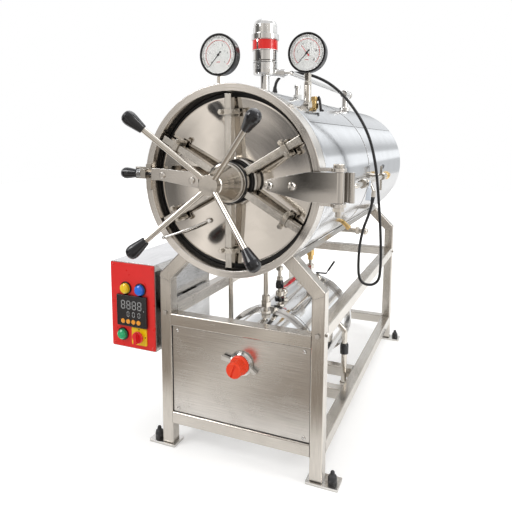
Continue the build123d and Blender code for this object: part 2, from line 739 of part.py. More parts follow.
def gauge_stems():
    out = []
    for x, y, rise in GAUGES:
        z = vessel_top + rise
        top = z - DIAL_R + 3
        low = vessel_high(x) - 8
        stem = rod((x, y, low), (x, y, top), 8)
        stem += hex_head(put(x, y, top - 24), 20, 20)
        stem += hex_head(put(x, y, vessel_high(x) - 2), 26, 16)
        case = spun([(0, -2), (DIAL_R - 2, -2), (DIAL_R - 2, CASE_L + 1), (0, CASE_L + 1)], put(x, y + CASE_L / 2, z, 0, -1, 0))
        out.append(stem - case - vessel_core())
    return out


def safety_valve():
    x, y = SAFETY_X, SAFETY_Y
    z = vessel_high(x)
    plane = put(x, y, 0)
    prof = [(0, z - 6), (14, z - 6), (14, z + 46), (18, z + 48), (35, z + 50), (37, z + 54), (37, z + 84), (34, z + 86)]
    prof += [(34, z + 90), (37, z + 92), (37, z + 120), (35, z + 122), (35, z + 151), (42, z + 153), (42, z + 168), (36, z + 171)]
    prof += [(36, z + 196), (32, z + 206), (22, z + 212), (0, z + 214)]
    body = spun(prof, plane)
    port = rod((x, y, z + PORT_H), (x + PORT_X, y + PORT_Y, z + PORT_H), 14)
    port += rod((x + 0.8 * PORT_X, y + 0.8 * PORT_Y, z + PORT_H), (x + PORT_X, y + PORT_Y, z + PORT_H), 17)
    return body + port - vessel_core()


def safety_band():
    x, y = SAFETY_X, SAFETY_Y
    z = vessel_high(x)
    return spun([(35, z + 122.5), (38.5, z + 122.5), (38.5, z + 151), (35, z + 151)], put(x, y, 0))


def top_pipework():
    out = []
    x0, y0 = SAFETY_X, SAFETY_Y
    z = vessel_high(x0) + PORT_H
    p = (x0 + PORT_X, y0 + PORT_Y, z)
    tx, ty, rise = TEE
    tz = vessel_top + rise
    run = tube_run([p, (x0 + 1.35 * PORT_X, y0 + 1.35 * PORT_Y, z), (tx, ty, tz)], 7, 12)
    out.append(run)
    z0 = vessel_high(tx)
    tee = rod((tx, ty, z0 - 6), (tx, ty, tz + 15), 13)
    tee += spun([(0, 0), (26, 0), (26, 14), (14, 18), (0, 18)], put(tx, ty, z0 - 4))
    tee += rod((tx, ty - 28, tz), (tx, ty + 42, tz), 15)
    tee += spun([(0, 0), (10, 0), (18, 5), (18, 14), (12, 20), (0, 20)], put(tx, ty + 42, tz, 0, 1, 0))
    out[0] = out[0] + tee - vessel_core()
    z0 = vessel_high(80)
    vent = rod((80, -320, z0 - 6), (80, -320, z0 + 42), 8)
    vent += hex_head(put(80, -320, z0 - 4), 26, 16)
    vent += spun([(0, 0), (11, 0), (11, 8), (7, 12), (0, 12)], put(80, -320, z0 + 34))
    out.append(vent - vessel_core())
    x, y, z = CABLE[0]
    gland = rod((x, y, vessel_high(x) - 6), (x, y, z), 7) + hex_head(put(x, y, vessel_high(x) - 2), 22, 10)
    out.append(gland - vessel_core())
    return out


def brass_cock():
    z0 = vessel_high(152)
    x, y = 152, -360
    body = rod((x, y, z0 - 10), (x, y, z0 + 36), 9)
    body += hex_head(put(x, y, z0 - 2), 24, 16)
    body += hex_head(put(x, y, z0 + 22), 24, 12)
    body += rod((x, y, z0 + 28), (x + 12, y, z0 + 28), 6)
    return body - vessel_core()


def side_pipework():
    # steam line along the vessel's side with a ball valve, the sensor's gland and a clip; a stub line lower down
    out = []
    x, z = side_x, side_z
    y0 = -390
    run = tube_run([(x - 50, y0, z), (x, y0, z), (x, 120, z)], 9, 22)
    run += Pos(x, SIDE_VALVE_Y, z) * Sphere(16)
    run += hex_head(put(x, SIDE_VALVE_Y - 30, z, 0, 1, 0), 28, 12) + hex_head(put(x, SIDE_VALVE_Y + 16, z, 0, 1, 0), 28, 12)
    run += hex_head(put(x - 32, y0, z, 1, 0, 0), 28, 12)
    run += rod((x, SIDE_VALVE_Y, z), (x + 18, SIDE_VALVE_Y, z), 7)
    clip = Pos(x, 60, z - 4) * Box(8, 10, 96)
    clip += Pos(x, 104, z) * Sphere(15)
    clip += hex_head(put(x, 62, z, 0, 1, 0), 26, 16)
    gland_x, gland_y, gland_z = CABLE[-1]
    branch = rod((x, gland_y, z), (gland_x, gland_y, gland_z + 22), 8) + Pos(gland_x, gland_y, gland_z + 20) * Sphere(9)
    branch += hex_head(put(gland_x, gland_y, gland_z), 19, 22)
    stay = rod((x, 104, z), (x - 60, 104, z), 9)
    out.append(run + clip + branch + stay - vessel_core())
    low_z = AXIS_Z - 260
    low_x = JACKET_R - 48
    low = tube_run([(100, 150, low_z + 62), (100, 150, low_z), (low_x, 150, low_z)], 10, 22)
    low += Pos(low_x + 2, 150, low_z) * Sphere(15)
    low += hex_head(put(low_x - 36, 150, low_z, 1, 0, 0), 28, 14)
    out.append(low - vessel_core())
    return out


def brass_fittings():
    out = [brass_cock()]
    prof = [(0, 0), (13, 0), (13, 26), (10, 30), (10, 44), (16, 48), (16, 66), (12, 70), (12, 96), (9, 100), (0, 100)]
    out.append(spun(prof, put(side_x, 120, side_z, 0, 1, 0)))
    x, y = LEVEL
    z = boiler_top(x) + 150
    nut = hex_head(put(x, y, z), 26, 22) + Pos(x, y, z - 8) * Cylinder(10, 16)
    out.append(nut - rod((x, y, z - 40), (x, y, z + 40), 6.5))
    y = -151
    a = radians(-41)
    p = (JACKET_R - 8) * cos(a), y, AXIS_Z + (JACKET_R - 8) * sin(a)
    q = (JACKET_R + 34) * cos(a), y, AXIS_Z + (JACKET_R + 34) * sin(a)
    cock = rod(p, q, 8)
    cock += rod((q[0] - 6, y - 14, q[2] + 5), (q[0] - 6, y + 14, q[2] + 5), 7)
    cock -= vessel_core()
    out.append(cock)
    return out


def control_cabinet():
    w = box_x1 - box_x0
    h = BOX_Z1 - BOX_Z0
    d = BOX_Y1 - BOX_Y0
    box = Pos((box_x0 + box_x1) / 2, (BOX_Y0 + BOX_Y1) / 2, (BOX_Z0 + BOX_Z1) / 2) * Box(w, d, h)
    box = fillet(box.edges().filter_by(Axis.Y), 3)
    for y in (-500, -340):
        box += Pos(box_x1 + BOX_GAP / 2, y, SIDE_RAIL_Z) * Box(BOX_GAP, 60, 30)
    return box


PANEL_Y = BOX_Y0 - 3


def control_panel():
    w = box_x1 - box_x0 - 4
    h = BOX_Z1 - BOX_Z0 - 6
    cx = (box_x0 + box_x1) / 2
    cz = (BOX_Z0 + BOX_Z1) / 2
    face = Pos(cx, BOX_Y0 - 1.5, cz) * Box(w, 3, h)
    face = fillet(face.edges().filter_by(Axis.Y), 3)
    for sx in (-1, 1):
        for sz in (-1, 1):
            face += screw_head(cx + sx * (w / 2 - 9), PANEL_Y, cz + sz * (h / 2 - 9), 4.5)
    return face


def control_display():
    return Pos(box_cx, PANEL_Y - 4, 450) * Box(116, 8, 104)


def lamp(x, z, r=17):
    plane = put(x, PANEL_Y, z, 0, -1, 0)
    return spun([(0, 0), (r + 3, 0), (r + 3, 3), (r, 4), (r - 1, 12), (r - 6, 16), (0, 18)], plane)


def lamp_yellow():
    return lamp(box_cx - 25, 524)


def lamp_blue():
    return lamp(box_cx + 32, 524)


def start_button():
    return lamp(box_cx - 41, 366, 17)


switch_x = box_cx + 25
SWITCH_Z = 366


def switch_plate():
    plate = Pos(switch_x, PANEL_Y - 2, SWITCH_Z) * Box(58, 4, 58)
    plate = fillet(plate.edges().filter_by(Axis.Y), 4)
    return plate + rod((switch_x, PANEL_Y - 4, SWITCH_Z), (switch_x, PANEL_Y - 9, SWITCH_Z), 17)


def switch_knob():
    plane = put(switch_x, PANEL_Y - 9.6, SWITCH_Z, 0, -1, 0)
    body = spun([(0, 0), (20, 0), (20, 5), (18, 7), (0, 7)], plane)
    grip = Pos(switch_x, PANEL_Y - 9.6 - 12, SWITCH_Z) * Box(10, 14, 38)
    grip = fillet(grip.edges().filter_by(Axis.Y), 4)
    return body + grip


def ball_lever(pivot, direction, out, length, rise, up=(0, 0, 1)):
    # flat lever: a round eye over the valve stem, a short arm out, then a grip that may rise
    plane = Plane(origin=Vector(*pivot), x_dir=direction, z_dir=up)
    eye = Cylinder(9, 4, align=(Align.CENTER, Align.CENTER, Align.MIN))
    arm = Pos(out / 2, 0, 2) * Box(out + 4, 10, 4)
    blade = Pos(length * 0.5, 0, 0) * Box(length, 9, 4)
    grip = Pos(length * 0.62, 0, 0) * Box(length * 0.76, 13, 8)
    grip = fillet(grip.edges().filter_by(Axis.X), 3)
    return plane * (eye + arm + Pos(out, 0, 2) * Rot(0, -rise, 0) * (blade + grip))


def sensor_cable():
    v = [Vector(*p) for p in CABLE]
    radii = []
    for i in range(1, len(v) - 1):
        a = v[i] - v[i - 1]
        b = v[i + 1] - v[i]
        turn = radians(a.get_angle(b))
        radii.append(0.45 * min(a.length, b.length) / tan(turn / 2))
    print("cable bend radii", [round(r) for r in radii])
    path = FilletPolyline(*CABLE, radius=radii)
    start = Plane(origin=path @ 0, z_dir=path % 0)
    return sweep(start * Circle(CABLE_R), path=path)



def build():
    save("legs", legs())
    save("foot_plates", foot_plates())
    save("anchor_bolts", anchor_bolts())
    save("cross_rails", cross_rails())
    save("side_rails", side_rails())
    save("saddle_rails", saddle_rails())
    save("service_panel", service_panel())
    save("panel_screws", panel_screws())
    save("heater_flange", heater_flange())
    save("heater_cap", heater_cap())
    save("front_ring", front_ring())
    save("chamber", chamber())
    save("jacket_front", jacket_front())
    save("jacket_rear", jacket_rear())
    save("rear_cover", rear_cover())
    save("gasket", gasket())
    save("door_disc", door_disc())
    save("door_hub", door_hub())
    save("hub_seals", hub_seals())
    save("bar_guides", bar_guides())
    for i in range(BARS):
        save("lock_bar_%d" % (i + 1), lock_bar(i))
    save("handwheel", handwheel())
    save("handwheel_knobs", handwheel_knobs())
    save("hinge_arm", hinge_arm())
    save("hinge_bracket", hinge_bracket())
    save("hinge_pin", hinge_pin())
    save("latch_arm", latch_arm())
    save("latch_bracket", latch_bracket())
    save("latch_plunger", latch_plunger())
    save("latch_spring", latch_spring())
    save("boiler", boiler())
    save("boiler_cradle", boiler_cradle())
    save("boiler_pipes", boiler_pipes())
    save("drain_pipes", drain_pipes())
    save("valve_handles", valve_handles())
    save("gauge_cases", gauge_cases())
    save("gauge_dials", gauge_dials())
    save("gauge_stems", gauge_stems())
    save("safety_valve", safety_valve())
    save("safety_band", safety_band())
    save("top_pipework", top_pipework())
    save("side_pipework", side_pipework())
    save("brass_fittings", brass_fittings())
    save("control_cabinet", control_cabinet())
    save("control_panel", control_panel())
    save("control_display", control_display())
    save("lamp_yellow", lamp_yellow())
    save("lamp_blue", lamp_blue())
    save("start_button", start_button())
    save("switch_plate", switch_plate())
    save("switch_knob", switch_knob())
    save("sensor_cable", sensor_cable())
    (x, y), (x2, y2) = BALL_VALVES
    save("riser_lever", ball_lever((x, y, boiler_top(x) + STEM_H + 0.3), (0.6, 1, 0), 14, 48, 30))
    save("boiler_lever", ball_lever((x2, y2, boiler_top(x2) + STEM_H + 0.3), (1, 0.1, 0), 34, 60, 58))
    save("side_lever", ball_lever((side_x + 18.6, SIDE_VALVE_Y, side_z), (0, -0.45, -0.9), 12, 50, 0, (1, 0, 0)))


build()
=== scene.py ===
import math
import bpy
import bmesh
from mathutils import Matrix, Vector


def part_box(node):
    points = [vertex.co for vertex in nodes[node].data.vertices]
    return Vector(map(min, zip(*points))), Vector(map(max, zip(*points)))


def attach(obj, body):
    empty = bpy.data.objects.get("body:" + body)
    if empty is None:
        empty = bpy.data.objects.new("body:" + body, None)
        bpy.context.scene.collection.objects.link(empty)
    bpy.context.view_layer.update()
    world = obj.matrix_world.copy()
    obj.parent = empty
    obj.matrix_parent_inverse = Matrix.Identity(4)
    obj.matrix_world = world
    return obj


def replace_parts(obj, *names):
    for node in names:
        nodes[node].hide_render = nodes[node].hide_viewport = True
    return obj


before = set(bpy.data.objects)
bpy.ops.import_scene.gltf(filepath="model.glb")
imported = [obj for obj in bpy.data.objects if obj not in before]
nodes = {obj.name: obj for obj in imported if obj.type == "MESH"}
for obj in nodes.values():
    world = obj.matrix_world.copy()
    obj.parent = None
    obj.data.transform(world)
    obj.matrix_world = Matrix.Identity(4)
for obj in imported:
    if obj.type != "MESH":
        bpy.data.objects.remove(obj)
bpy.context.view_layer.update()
scene = bpy.context.scene
STAND = "stand_and_vessel"

# Main sizes and places of the machine in metres, as in the solids
AXIS_Z = 0.888
VESSEL_AXIS = (0, 0, AXIS_Z)
BOILER_AXIS = (0.024, 0, 0.276)
JACKET_R = 0.270
JACKET_SKINS = ((-0.585, -0.024), (0.004, 0.780))
ANCHOR_X = 0.302
LEG_X = 0.275
LEG_Y = 0.600
KNEE_Z = 0.575
KNEE_INNER_X, KNEE_INNER_Z = 0.235, 0.5584
PANEL_Y = -0.635
DISPLAY_Y = PANEL_Y - 0.008
DISPLAY_X, DISPLAY_Z = -0.371, 0.450
SWITCH_X, SWITCH_Z = -0.346, 0.366
BUTTONS = ((-0.396, 0.524), (-0.339, 0.524), (-0.412, 0.366))
GAUGES = ((-0.062, -0.598, 1.252), (0.155, -0.440, 1.270))
DIAL_R = 0.060
COCK_X = 0.152
SIDE_STEM_Y, SIDE_STEM_Z = -0.265, 0.866

# Directions
RIGHT = (1, 0, 0)
REARWARD = (0, 1, 0)
FORWARD = (0, -1, 0)
UP = (0, 0, 1)

# Frame of the photograph in pixels, with the fitted camera's focal length and middle
FRAME = 512.0
FOCAL = 503.11
MIDDLE_X, MIDDLE_Y = 269.021, 202.297


# Camera
def photo_camera():
    data = bpy.data.cameras.new("photo_camera")
    data.sensor_width = 36.0
    data.lens = data.sensor_width * FOCAL / FRAME
    data.shift_x = (FRAME / 2 - MIDDLE_X) / FRAME
    data.shift_y = (MIDDLE_Y - FRAME / 2) / FRAME
    data.clip_start = 0.05
    yaw, pitch, roll = (math.radians(a) for a in (22.425, -7.025, 0.316))
    ahead = Vector((-math.sin(yaw) * math.cos(pitch), math.cos(yaw) * math.cos(pitch), math.sin(pitch)))
    right = Vector((math.cos(yaw), math.sin(yaw), 0.0))
    up = right.cross(ahead)
    side = right * math.cos(roll) + up * math.sin(roll)
    top = up * math.cos(roll) - right * math.sin(roll)
    turn = Matrix((side, top, -ahead)).transposed().to_4x4()
    cam = bpy.data.objects.new("photo_camera", data)
    cam.matrix_world = Matrix.Translation((0.647794, -1.938991, 1.006867)) @ turn
    scene.collection.objects.link(cam)
    scene.camera = cam


photo_camera()


# Node helpers
def new_group(name, inputs, outputs):
    group = bpy.data.node_groups.new(name, "ShaderNodeTree")
    for label, kind, value in inputs:
        sock = group.interface.new_socket(label, in_out="INPUT", socket_type=kind)
        sock.default_value = value
    for label, kind in outputs:
        group.interface.new_socket(label, in_out="OUTPUT", socket_type=kind)
    return group, group.nodes.new("NodeGroupInput"), group.nodes.new("NodeGroupOutput")


def feed(tree, slot, value):
    # a number or a colour is written on the socket, and a node's output is linked to it
    if isinstance(value, tuple):
        slot.default_value = (*value, 1.0)
    elif isinstance(value, (int, float)):
        slot.default_value = value
    else:
        tree.links.new(value, slot)


def calc(tree, how, a, b=None, clamp=False):
    node = tree.nodes.new("ShaderNodeMath")
    node.operation = how
    node.use_clamp = clamp
    feed(tree, node.inputs[0], a)
    if b is not None:
        feed(tree, node.inputs[1], b)
    return node.outputs[0]


def total(tree, a, b):
    return calc(tree, "ADD", a, b)


def product(tree, a, b):
    return calc(tree, "MULTIPLY", a, b)


def distance(tree, a, b):
    return calc(tree, "SQRT", total(tree, product(tree, a, a), product(tree, b, b)))


def split(tree, vector):
    node = tree.nodes.new("ShaderNodeSeparateXYZ")
    tree.links.new(vector, node.inputs[0])
    return node.outputs


def vector_math(tree, how, a, b):
    node = tree.nodes.new("ShaderNodeVectorMath")
    node.operation = how
    tree.links.new(a, node.inputs[0])
    tree.links.new(b, node.inputs[1])
    return node.outputs


def spread(tree, value, low, high, to_low=0.0, to_high=1.0):
    node = tree.nodes.new("ShaderNodeMapRange")
    for slot, v in zip(node.inputs[:5], (value, low, high, to_low, to_high)):
        feed(tree, slot, v)
    return node.outputs[0]


def noise(tree, vector, scale, detail, distortion=0.0):
    node = tree.nodes.new("ShaderNodeTexNoise")
    node.inputs["Detail"].default_value = detail
    node.inputs["Distortion"].default_value = distortion
    feed(tree, node.inputs["Scale"], scale)
    tree.links.new(vector, node.inputs["Vector"])
    return node.outputs["Fac"]


def blend_colours(tree, fac, a, b):
    node = tree.nodes.new("ShaderNodeMix")
    node.data_type = "RGBA"
    for slot, v in zip((node.inputs[0], node.inputs[6], node.inputs[7]), (fac, a, b)):
        feed(tree, slot, v)
    return node.outputs[2]


def toned(colour, level):
    return tuple(c * level for c in colour)


def place(tree):
    return tree.nodes.new("ShaderNodeTexCoord").outputs["Object"]


# Brushed lines left by a belt: short stretched noise along one direction
def make_brushed_lines():
    group, g_in, g_out = new_group(
        "brushed_lines",
        [("Across", "NodeSocketVector", (1, 1, 1)), ("Fineness", "NodeSocketFloat", 900.0)],
        [("Lines", "NodeSocketFloat"), ("Patches", "NodeSocketFloat")])
    stretched = vector_math(group, "MULTIPLY", place(group), g_in.outputs["Across"])[0]
    lines = noise(group, stretched, g_in.outputs["Fineness"], 2.5)
    group.links.new(lines, g_out.inputs["Lines"])
    group.links.new(noise(group, stretched, 26.0, 2.0), g_out.inputs["Patches"])
    return group


# Lathe lines that run round an axis parallel to Y
def make_turned_lines():
    group, g_in, g_out = new_group(
        "turned_lines",
        [("Centre", "NodeSocketVector", VESSEL_AXIS), ("Fineness", "NodeSocketFloat", 420.0)],
        [("Lines", "NodeSocketFloat"), ("Patches", "NodeSocketFloat")])
    x, y, z = split(group, vector_math(group, "SUBTRACT", place(group), g_in.outputs["Centre"])[0])
    angle = calc(group, "ABSOLUTE", calc(group, "ARCTAN2", z, x))
    join = group.nodes.new("ShaderNodeCombineXYZ")
    group.links.new(distance(group, x, z), join.inputs[0])
    group.links.new(y, join.inputs[1])
    group.links.new(product(group, angle, 0.006), join.inputs[2])
    lines = noise(group, join.outputs[0], g_in.outputs["Fineness"], 2.0)
    group.links.new(lines, g_out.inputs["Lines"])
    group.links.new(noise(group, join.outputs[0], 60.0, 1.0), g_out.inputs["Patches"])
    return group


# Finger marks and haze: soft clouds, and tiny specks
def make_handling_marks():
    group, g_in, g_out = new_group(
        "handling_marks",
        [("Size", "NodeSocketFloat", 14.0)],
        [("Haze", "NodeSocketFloat"), ("Specks", "NodeSocketFloat")])
    where = place(group)
    clouds = noise(group, where, g_in.outputs["Size"], 5.0, 0.6)
    group.links.new(spread(group, clouds, 0.38, 0.68), g_out.inputs["Haze"])
    specks = noise(group, where, 420.0, 2.0)
    group.links.new(spread(group, specks, 0.66, 0.74), g_out.inputs["Specks"])
    return group


# Rounded arrises: a normal that turns over each edge, a mask of the worn edge, and a painted shade mask that
# darkens the crevices by ambient occlusion
def make_worn_edges_and_crevice_shade():
    group, g_in, g_out = new_group(
        "worn_edges_and_crevice_shade",
        [("Width", "NodeSocketFloat", 0.0015)],
        [("Normal", "NodeSocketVector"), ("Edge", "NodeSocketFloat"), ("Crevice Shade", "NodeSocketFloat")])
    # painted shade: ambient occlusion marks where crevices and contacts would be shaded
    crevice_occlusion = group.nodes.new("ShaderNodeAmbientOcclusion")
    crevice_occlusion.samples = 4
    crevice_occlusion.inputs["Distance"].default_value = 0.014
    group.links.new(spread(group, crevice_occlusion.outputs["AO"], 0.80, 0.30), g_out.inputs["Crevice Shade"])
    bevel = group.nodes.new("ShaderNodeBevel")
    bevel.samples = 4
    group.links.new(g_in.outputs["Width"], bevel.inputs["Radius"])
    face = group.nodes.new("ShaderNodeNewGeometry")
    turned_over = vector_math(group, "DOT_PRODUCT", bevel.outputs[0], face.outputs["Normal"])["Value"]
    group.links.new(bevel.outputs[0], g_out.inputs["Normal"])
    group.links.new(spread(group, turned_over, 0.995, 0.85), g_out.inputs["Edge"])
    return group


# Fine stipple of moulded plastic and rubber
def make_moulded_skin():
    group, g_in, g_out = new_group(
        "moulded_skin",
        [("Grain", "NodeSocketFloat", 900.0)],
        [("Height", "NodeSocketFloat"), ("Blotch", "NodeSocketFloat")])
    where = place(group)
    group.links.new(noise(group, where, g_in.outputs["Grain"], 3.0), g_out.inputs["Height"])
    group.links.new(noise(group, where, 30.0, 3.0), g_out.inputs["Blotch"])
    return group


BRUSHED = make_brushed_lines()
TURNED = make_turned_lines()
MARKS = make_handling_marks()
EDGES = make_worn_edges_and_crevice_shade()
SKIN = make_moulded_skin()


# Materials
def start_material(name):
    mat = bpy.data.materials.new(name)
    mat.use_nodes = True
    return mat, mat.node_tree, mat.node_tree.nodes["Principled BSDF"]


def add_group(tree, group, **values):
    node = tree.nodes.new("ShaderNodeGroup")
    node.node_tree = group
    for label, value in values.items():
        node.inputs[label].default_value = value
    return node.outputs


def add_bump(tree, shader, height, strength, depth, normal):
    bump = tree.nodes.new("ShaderNodeBump")
    bump.inputs["Strength"].default_value = strength
    bump.inputs["Distance"].default_value = depth
    tree.links.new(height, bump.inputs["Height"])
    tree.links.new(normal, bump.inputs["Normal"])
    tree.links.new(bump.outputs[0], shader.inputs["Normal"])


def steel(name, colour, rough, across=None, centre=None, fineness=900.0, depth=0.00004, haze=0.08,
          grain=0.10, strength=0.35, tone=0.14, spin=0.0):
    # stainless steel with belt lines (across) or lathe lines (centre), haze, lighter worn edges and painted
    # shade darkening its crevices
    mat, tree, shader = start_material(name)
    shader.inputs["Metallic"].default_value = 1.0
    if centre is not None:
        lines = add_group(tree, TURNED, Centre=centre, Fineness=fineness)
    else:
        lines = add_group(tree, BRUSHED, Across=across, Fineness=fineness)
    marks = add_group(tree, MARKS, Size=11.0)
    edges = add_group(tree, EDGES, Width=0.0012)
    r = spread(tree, lines["Lines"], 0.3, 0.7, rough - grain / 2, rough + grain / 2)
    r = total(tree, r, product(tree, marks["Haze"], haze))
    r = calc(tree, "ADD", r, product(tree, lines["Patches"], grain * 0.6), clamp=True)
    tree.links.new(r, shader.inputs["Roughness"])
    dark = toned(colour, 1.0 - tone)
    pale = tuple(min(1.0, c) for c in toned(colour, 1.0 + tone * 0.5))
    col = blend_colours(tree, spread(tree, lines["Lines"], 0.32, 0.68), dark, pale)
    col = blend_colours(tree, product(tree, marks["Haze"], 0.22), col, toned(colour, 0.72))
    col = blend_colours(tree, product(tree, edges["Edge"], 0.5), col, (0.86, 0.85, 0.83))
    # painted shade: occluded crevices darkened towards near black
    col = blend_colours(tree, product(tree, edges["Crevice Shade"], 0.62), col, (0.10, 0.09, 0.08))
    tree.links.new(col, shader.inputs["Base Color"])
    add_bump(tree, shader, lines["Lines"], strength, depth, edges["Normal"])
    if spin:
        # lathe marks spread a reflection towards and away from the axis
        shader.inputs["Anisotropic"].default_value = spin
        shader.inputs["Anisotropic Rotation"].default_value = 0.25
        round_axis = tree.nodes.new("ShaderNodeTangent")
        round_axis.direction_type = "RADIAL"
        round_axis.axis = "Y"
        tree.links.new(round_axis.outputs[0], shader.inputs["Tangent"])
    return mat


def chrome(name, colour=(0.78, 0.77, 0.75), rough=0.045, haze=0.10):
    # polished plating with faint polishing haze, tiny pits and painted shade darkening its crevices
    mat, tree, shader = start_material(name)
    shader.inputs["Metallic"].default_value = 1.0
    marks = add_group(tree, MARKS, Size=24.0)
    edges = add_group(tree, EDGES, Width=0.0006)
    tree.links.new(total(tree, product(tree, marks["Haze"], haze), rough), shader.inputs["Roughness"])
    col = blend_colours(tree, product(tree, marks["Haze"], 0.35), colour, toned(colour, 0.78))
    col = blend_colours(tree, product(tree, marks["Specks"], 0.5), col, toned(colour, 0.45))
    # painted shade: occluded crevices darkened almost to black
    col = blend_colours(tree, product(tree, edges["Crevice Shade"], 0.60), col, toned(colour, 0.12))
    tree.links.new(col, shader.inputs["Base Color"])
    add_bump(tree, shader, marks["Specks"], 0.10, 0.0001, edges["Normal"])
    return mat


def plastic(name, colour, rough, coat=0.0, grain=900.0, depth=0.00003, worn=(0.6, 0.6, 0.6), wear=0.12):
    # moulded plastic, paint or rubber with a fine stipple and paler worn edges
    mat, tree, shader = start_material(name)
    skin = add_group(tree, SKIN, Grain=grain)
    edges = add_group(tree, EDGES, Width=0.0009)
    shader.inputs["Coat Weight"].default_value = coat
    shader.inputs["Coat Roughness"].default_value = 0.08
    col = blend_colours(tree, spread(tree, skin["Blotch"], 0.3, 0.7), toned(colour, 0.95), colour)
    col = blend_colours(tree, product(tree, edges["Edge"], wear), col, worn)
    tree.links.new(col, shader.inputs["Base Color"])
    r = spread(tree, skin["Blotch"], 0.3, 0.7, rough * 0.88, rough * 1.15)
    tree.links.new(r, shader.inputs["Roughness"])
    add_bump(tree, shader, skin["Height"], 0.22, depth, edges["Normal"])
    return mat


def clear_glass():
    mat, tree, shader = start_material("gauge_glass_clear")
    shader.inputs["Transmission Weight"].default_value = 1.0
    shader.inputs["IOR"].default_value = 1.12
    haze = add_group(tree, MARKS, Size=30.0)["Haze"]
    tree.links.new(product(tree, haze, 0.03), shader.inputs["Roughness"])
    tree.links.new(blend_colours(tree, haze, (1, 1, 1), (0.97, 0.98, 0.98)), shader.inputs["Base Color"])
    return mat


